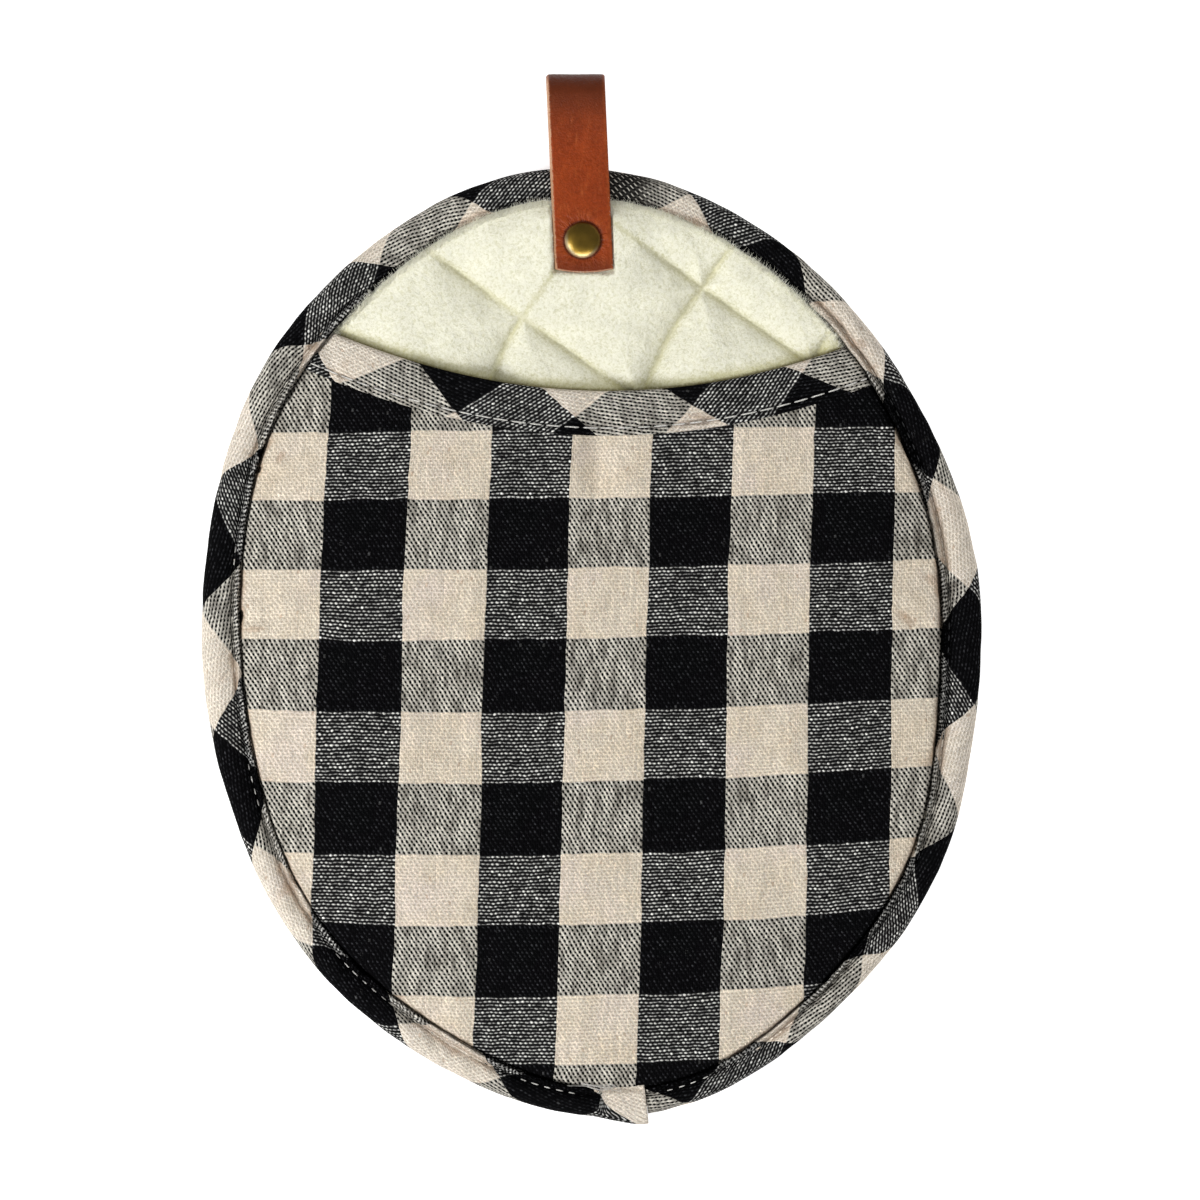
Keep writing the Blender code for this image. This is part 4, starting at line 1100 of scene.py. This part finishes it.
def blackAt(warp, weft):  # one where dark warp crosses dark weft
    ends, picks = 2 * gingham["endsInCheck"], 2 * gingham["picksInCheck"]
    return np.all(yarnCount(warp, weft) % (ends, picks) < (ends / 2, picks / 2), axis=-1) * 1.0


def sewing(name, start, end, radius, sag):
    # One small rod with rounded ends for each pair of points: the radius of its circles is the square
    # root of a parabola, and its ends lie lower than its middle by the sag.
    t = 0.5 - 0.5 * np.cos(np.linspace(0, math.pi, 8))[:, None]
    line = start[:, None] + (end - start)[:, None] * t - np.array([0, 0, 4 * sag]) * (t - 0.5) ** 2
    girth = radius * np.clip(12 * t * (1 - t), 0, 1) ** 0.5
    return strands(name, line[:, 1:-1], girth[1:-1, 0], 6, line[:, [0, -1]])


def stitchRow(run, trim, phase=0.0):
    # Start and end distances of stitches along a seam, each a little longer or shorter.
    dice = np.random.default_rng(7)
    middles = np.arange(run[0] + phase, run[-1], trim["stitch"])
    middles = middles + dice.uniform(-0.12, 0.12, len(middles))
    half = trim["stitchLength"] / 2 * dice.uniform(0.85, 1.12, len(middles))
    return middles - half, middles + half


def makeEdgeStitches():  # they lie open on black checks and sink into the others
    inside = (edgeRun > edgeTrim["sewnFrom"]) & (edgeRun < edgeRun[-1] - edgeTrim["leftOpen"])
    begin, stop = stitchRow(edgeRun[inside], edgeTrim)

    def read(run):
        return [np.interp(run, edgeRun, column) for column in edgeSeam]

    warp, weft, bare = read((begin + stop) / 2)[3:]
    depth = threadLook["proud"] - threadLook["sunk"] * (1.0 - blackAt(warp, weft) * (1.0 - bare))
    start, end = [joined(x, y, z + depth) for x, y, z in (read(begin)[:3], read(stop)[:3])]
    piece = sewing("edgeStitches", start, end, threadLook["radius"], 0.3)
    return dress(piece, threadPaint("greyThread", True))


def makeMouthStitches():
    inward = outline["mouthBand"] - mouthTrim["grooveFromEdge"]
    x = np.linspace(*mouthSpan(inward, 0.5, 1.0), 900)
    run = mouthLength(x)
    begin, stop = stitchRow(run, mouthTrim, 1.2)
    under = begin + (stop - begin) * np.linspace(0.1, 0.9, 9)[:, None]
    high = mouthSurface(np.interp(under, run, x), inward).max(axis=0) + threadLook["proud"]
    start, end = [joined(*mouthPlace(np.interp(reach, run, x), inward), high) for reach in (begin, stop)]
    piece = sewing("mouthStitches", start, end, threadLook["mouthRadius"], 0.25)
    return dress(piece, threadPaint("paleThread", False))


edgeStitches = makeEdgeStitches()
mouthStitches = makeMouthStitches()
tabFray, threadTails = makeFray()
makeFuzz()
print("the seams are stitched and the nap stands over the rim")


leatherLook = {
    "tan": (0.285, 0.043, 0.0065),
    "deep": (0.215, 0.030, 0.004),
    "worn": (0.42, 0.098, 0.024),
    "raw": (0.50, 0.28, 0.165),
    "shadeBrown": (0.075, 0.017, 0.006),  # painted shade over the top bend and a painted contact shadow round the rivet; the front end is darkened with it as well
}


def strapPath():
    # The strap's middle line from the side: level front leg, up to the eye, a half circle, back leg,
    # smoothed and walked in equal steps.
    high, low = strap["eyeHigh"], strap["eyeLow"]
    radius = (high - low) / 2
    bendY = strap["top"] - strap["thick"] / 2 - radius
    last = strap["legRows"][-1]

    def leg(level, eye):
        rise = [(last + (bendY - last) * t, level + (eye - level) * smoothStep(t)) for t in (0.33, 0.67)]
        return [(y, level) for y in strap["legRows"]] + rise

    turns = math.pi / 2 - math.pi * np.arange(13) / 12
    bend = [(bendY + radius * math.cos(turn), (high + low) / 2 + radius * math.sin(turn)) for turn in turns]
    points = leg(strap["frontLeg"], high) + bend + leg(strap["backLeg"], low)[::-1]
    fine = spline(points, 40 * len(points))
    run = runOf(fine)
    even = np.linspace(0.0, run[-1], strap["alongSteps"])
    return joined(*[np.interp(even, run, part) for part in fine.T]), even


def makeStrap():
    # The middle line carried across the width, thick in the middle and rounded off at the edges.
    path, run = strapPath()
    (y, z), (alongY, alongZ) = path.T, unit(np.gradient(path, axis=0)).T
    across = np.linspace(-1, 1, strap["acrossSteps"])[:, None]
    across = np.sin(across * math.pi / 2) * 0.35 + across * 0.65
    half = strap["width"] / 2
    offset = across * half
    fromEnd = np.minimum(run, run[-1] - run)
    bow = strap["endBow"] * plateau(fromEnd, 0.0, strap["endBowReach"])
    edge = np.clip((half - np.abs(offset)) / strap["edgeRound"], 0.0, 1.0)
    bevel = plateau(offset + half, 0.0, strap["rawEdge"]) * plateau(run, *strap["frontRun"])
    under = strap["edgeThick"] + (strap["thick"] / 2 - strap["edgeThick"]) * np.sqrt(1.0 - (1.0 - edge) ** 2)
    fromRivet = np.hypot(offset, y - rivet["y"])
    dimple = np.where(run < run[-1] / 2, rivet["dimple"] * np.exp(-((fromRivet - 4.4) / 1.3) ** 2), 0.0)
    over = under - 0.95 * bevel + 0.05 * wander(run, offset, 5.0, 111, 2)
    over = over + 0.02 * wander(run, offset, 0.9, 115, 2) - dimple
    # The hole for the rivet: points are pushed off its middle and the cells inside are left out.
    hole, drawn = rivet["holeRadius"], rivet["drawn"]
    pushed = (fromRivet ** 4 + hole ** 4) ** 0.25 / np.maximum(fromRivet, 1e-6)
    pushed = 1.0 + (pushed - 1.0) * plateau(fromRivet, 2.0, drawn)
    offset = offset * pushed
    y = np.where(fromRivet < drawn, rivet["y"] + (y - rivet["y"]) * pushed, y)
    x = strapMiddle(y) + offset
    y = y + bow * across * across
    top = joined(x, y - alongZ * over, z + alongY * over)
    low = joined(x, y + alongZ * under, z - alongY * under)
    inside = fromRivet < 0.75 * hole
    kept = ~(inside[:-1, :-1] & inside[1:, :-1] & inside[:-1, 1:] & inside[1:, 1:])
    piece = slab("hangingLoop", top, low, {"leather": joined(across * half, run)}, kept)
    return dress(piece, leatherPaint(), "hanging_loop")


def leatherPaint():
    # Tan leather: a fine pebble, cloudy dye, paler where it is worn, and a pale cut edge; lighter pebble tops are
    # painted glints together with wear, and painted shade covers the top bend with a painted contact shadow round the
    # rivet.
    paint = Paint("tanLeather", Roughness=0.5, Specular_IOR_Level=0.14)
    look, noise, blend = leatherLook, paint.noise, paint.blend
    across, along = paint.map("leather")
    place = paint.place()
    cloud = noise(place, 160.0, 3.0, 0.6)
    streak = noise(paint.join(across * 0.9, along * 0.22, 2.0), 1.0, 3.0, 0.6)
    pebble = paint.node("ShaderNodeTexVoronoi", {"feature": "F1"}, {"Vector": place, "Scale": 2300.0})
    grain = noise(place, 1500.0, 2.0, 0.6)
    colour = blend(cloud.between(0.3, 0.7), look["deep"], look["tan"])
    colour = blend(streak.between(0.5, 0.85, 0.0, 0.6), colour, look["worn"])
    colour = paint.dim(colour, grain.between(0.35, 0.7, 0.88, 1.1))
    half = strap["width"] / 2
    wobble = (grain - 0.5) * 0.9
    dx, dy, reach = paint.rivetReach()
    onLeg = along.between(20.0, 30.0, 1.0, 0.0)
    spokes = noise(paint.join(dx / reach * 5.0, dy / reach * 5.0, reach * 0.3), 1.0, 2.0, 0.6).between(0.4, 0.62)
    drawn = spokes * reach.between(5.0, 9.5, 1.0, 0.0) * onLeg  # creases that run off the rivet
    # Lighter pebble tops: painted glints together with wear.
    glintSpecks = pebble.between(0.0, 0.25, 1.0, 0.0) * cloud.between(0.4, 0.6)
    for amount in (drawn * 0.24, glintSpecks * 0.35):
        colour = blend(amount, colour, look["worn"])
    # Painted shade over the top bend, where the strap curves away from the light, a painted contact shadow round the
    # rivet, and a darker front end.
    folded = (along.between(31.0, 49.0) * 0.92).largest(along.between(0.0, 6.0, 0.55, 0.0))
    colour = blend(folded.largest(reach.between(4.7, 5.3, 0.85, 0.0) * onLeg), colour, look["shadeBrown"])
    rub = (across.size() + wobble).between(half - 1.1, half - 0.2) * 0.3
    colour = blend(rub, colour, look["worn"])
    raw = (across + half + wobble).between(0.4, 0.8, 1.0, 0.0) * along.between(46.0, 52.0, 1.0, 0.0)
    cutEnd = (along + wobble * 0.3).between(0.15, 0.45, 0.8, 0.0)
    colour = blend(raw.largest(cutEnd), colour, look["raw"])
    normal = paint.bump(pebble * 0.6 + grain * 0.7 + drawn * 1.2, 0.00016, 0.85)
    return paint.finish(colour, normal, grain.between(0.3, 0.7, 0.42, 0.58))


hangingLoop = makeStrap()
print("the loop is folded")


brassLook = {
    "bright": (0.62, 0.44, 0.20),
    "aged": (0.21, 0.13, 0.019),
    "dark": (0.15, 0.095, 0.014),
    # painted highlight on the rim of the rivet cap
    "rimGleam": (0.88, 0.74, 0.48),
}


def brassPaint(name, tones, rimGleam):
    # Brass that has darkened from the first tone to the second, worn bright in fine scratches, and with a painted
    # highlight on the cap's rim when asked.
    paint = Paint(name, Metallic=1.0, Roughness=0.35, Coat_Weight=0.2, Coat_Roughness=0.22)
    place = paint.place()
    x, y, z = paint.parts(place)
    cloud = paint.noise(place, 450.0, 2.0, 0.5)
    scratch = paint.noise(paint.join(x * 900.0, y * 5200.0, z * 900.0), 1.0, 2.0)
    colour = paint.blend(cloud.between(0.3, 0.75), *[brassLook[tone] for tone in tones])
    colour = paint.blend(scratch.between(0.66, 0.85, 0.0, 0.25), colour, brassLook["bright"])
    if rimGleam:  # a painted highlight on the rim of the cap, mostly on the lower side
        dx, dy, reach = paint.rivetReach()
        side = (dx * 0.45 + dy).between(-2.5, 1.0, 1.0, 0.0)
        atRim = (reach + (cloud - 0.5) * 0.6).between(3.4, 4.4, 0.0, 0.5)
        colour = paint.blend(atRim * side, colour, brassLook["rimGleam"])
    roughness = (cloud * 0.2 + scratch * 0.15).between(0.05, 0.35, 0.36, 0.46)
    return paint.finish(colour, paint.bump(cloud + scratch * 0.4, 0.00004, 0.5), roughness)


def makeCap():
    # A profile of radius and height carried round an upright axis.
    seat = strap["frontLeg"] + strap["thick"] / 2 + 0.05
    foot = rivet["washer"] + 0.3
    radius, post = rivet["capRadius"], rivet["postRadius"]
    lean = np.sin(np.linspace(0.0, math.pi / 2, 20))
    profile = [(radius * t, seat + 0.18 + rivet["dome"] * (1.0 - t ** 3.3) ** 0.75) for t in lean] + [
        (radius + 0.03, seat + 0.08), (radius - 0.08, seat), (radius - 0.5, seat - 0.05), (post, seat),
        (post, foot + 0.2), (post - 0.2, foot), (0.0, foot),
    ]
    reach, height = np.array(profile).T[..., None]
    turns = np.arange(rivet["sides"]) * math.tau / rivet["sides"]
    rings = joined(rivetX + reach * np.cos(turns), rivet["y"] + reach * np.sin(turns), height)
    piece = rods("rivetCap", rings[None, 1:-1], rings[None, [0, -1], 0])
    return dress(piece, brassPaint("antiqueBrass", ("aged", "dark"), True), "rivet_cap")


rivetCap = makeCap()
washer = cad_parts["rivet_back"]
for slot in washer.material_slots:
    slot.material = brassPaint("plainBrass", ("bright", "aged"), False)
print("the rivet is set")


studio = {
    "floor": 2.4,
    "floorGlow": 0.75,
    "frameWidth": 300.0,   # what the picture shows across, in millimetres
    "aim": (2.1, 0.0, 8.0),
    "cameraHeight": 1700.0,
    "world": 0.27,
    # Lights: name, place, size, power, and what they don't reach. The front one is a gleam for the
    # rivet and the leather only; the top one lights the cloth and leaves no patch on the brass.
    "lights": [
        ("key", (-0.87, -0.30, 0.78), (0.4, 0.4), 12.0, None),
        ("front", (0.0, -0.95, 0.70), (1.1, 0.5), 20.0, "visible_diffuse"),
        ("top", (0.5, 0.05, 1.88), (0.8, 0.8), 10.0, "visible_glossy"),
        ("fill", (0.85, 0.15, 0.95), (0.6, 0.6), 2.4, "visible_glossy"),
    ],
}


def makeFloor():
    paint = Paint(
        "paleFloor", Roughness=0.8, Specular_IOR_Level=0.1, Base_Color=(0.78, 0.78, 0.78),
        Emission_Color=(1.0, 1.0, 1.0), Emission_Strength=studio["floorGlow"],
    )
    half = studio["floor"] / 2 / mm
    corners = [(-half, -half, -0.02), (half, -half, -0.02), (half, half, -0.02), (-half, half, -0.02)]
    floor = newMesh("floor", corners, [np.array([[0, 1, 2, 3]])], closed=False)
    floor.data.materials.append(paint.material)


def makeLights():  # each is turned to the origin
    for name, place, size, power, hidden in studio["lights"]:
        lamp = bpy.data.lights.new(name, "AREA")
        lamp.shape = "RECTANGLE"
        lamp.size, lamp.size_y = size
        lamp.energy = power
        item = bpy.data.objects.new(name, lamp)
        bpy.context.collection.objects.link(item)
        x, y, z = item.location = place
        item.rotation_euler = (math.atan2(math.hypot(x, y), z), 0.0, math.atan2(x, -y))
        if hidden:
            setattr(item, hidden, False)


def makeStudio():
    makeFloor()
    world = bpy.data.worlds.new("studio")
    world.use_nodes = True
    background = world.node_tree.nodes["Background"].inputs
    background["Color"].default_value = (1.0, 1.0, 1.0, 1.0)
    background["Strength"].default_value = studio["world"]
    bpy.context.scene.world = world
    makeLights()
    camera = bpy.data.cameras.new("camera")
    camera.sensor_width = 36.0
    camera.lens = 36.0 * (studio["cameraHeight"] - studio["aim"][2]) / studio["frameWidth"]
    camera.clip_end = 10.0
    item = bpy.data.objects.new("camera", camera)
    bpy.context.collection.objects.link(item)
    item.location = (studio["aim"][0] * mm, studio["aim"][1] * mm, studio["cameraHeight"] * mm)
    bpy.context.scene.camera = item


makeStudio()
print("the studio is lit")
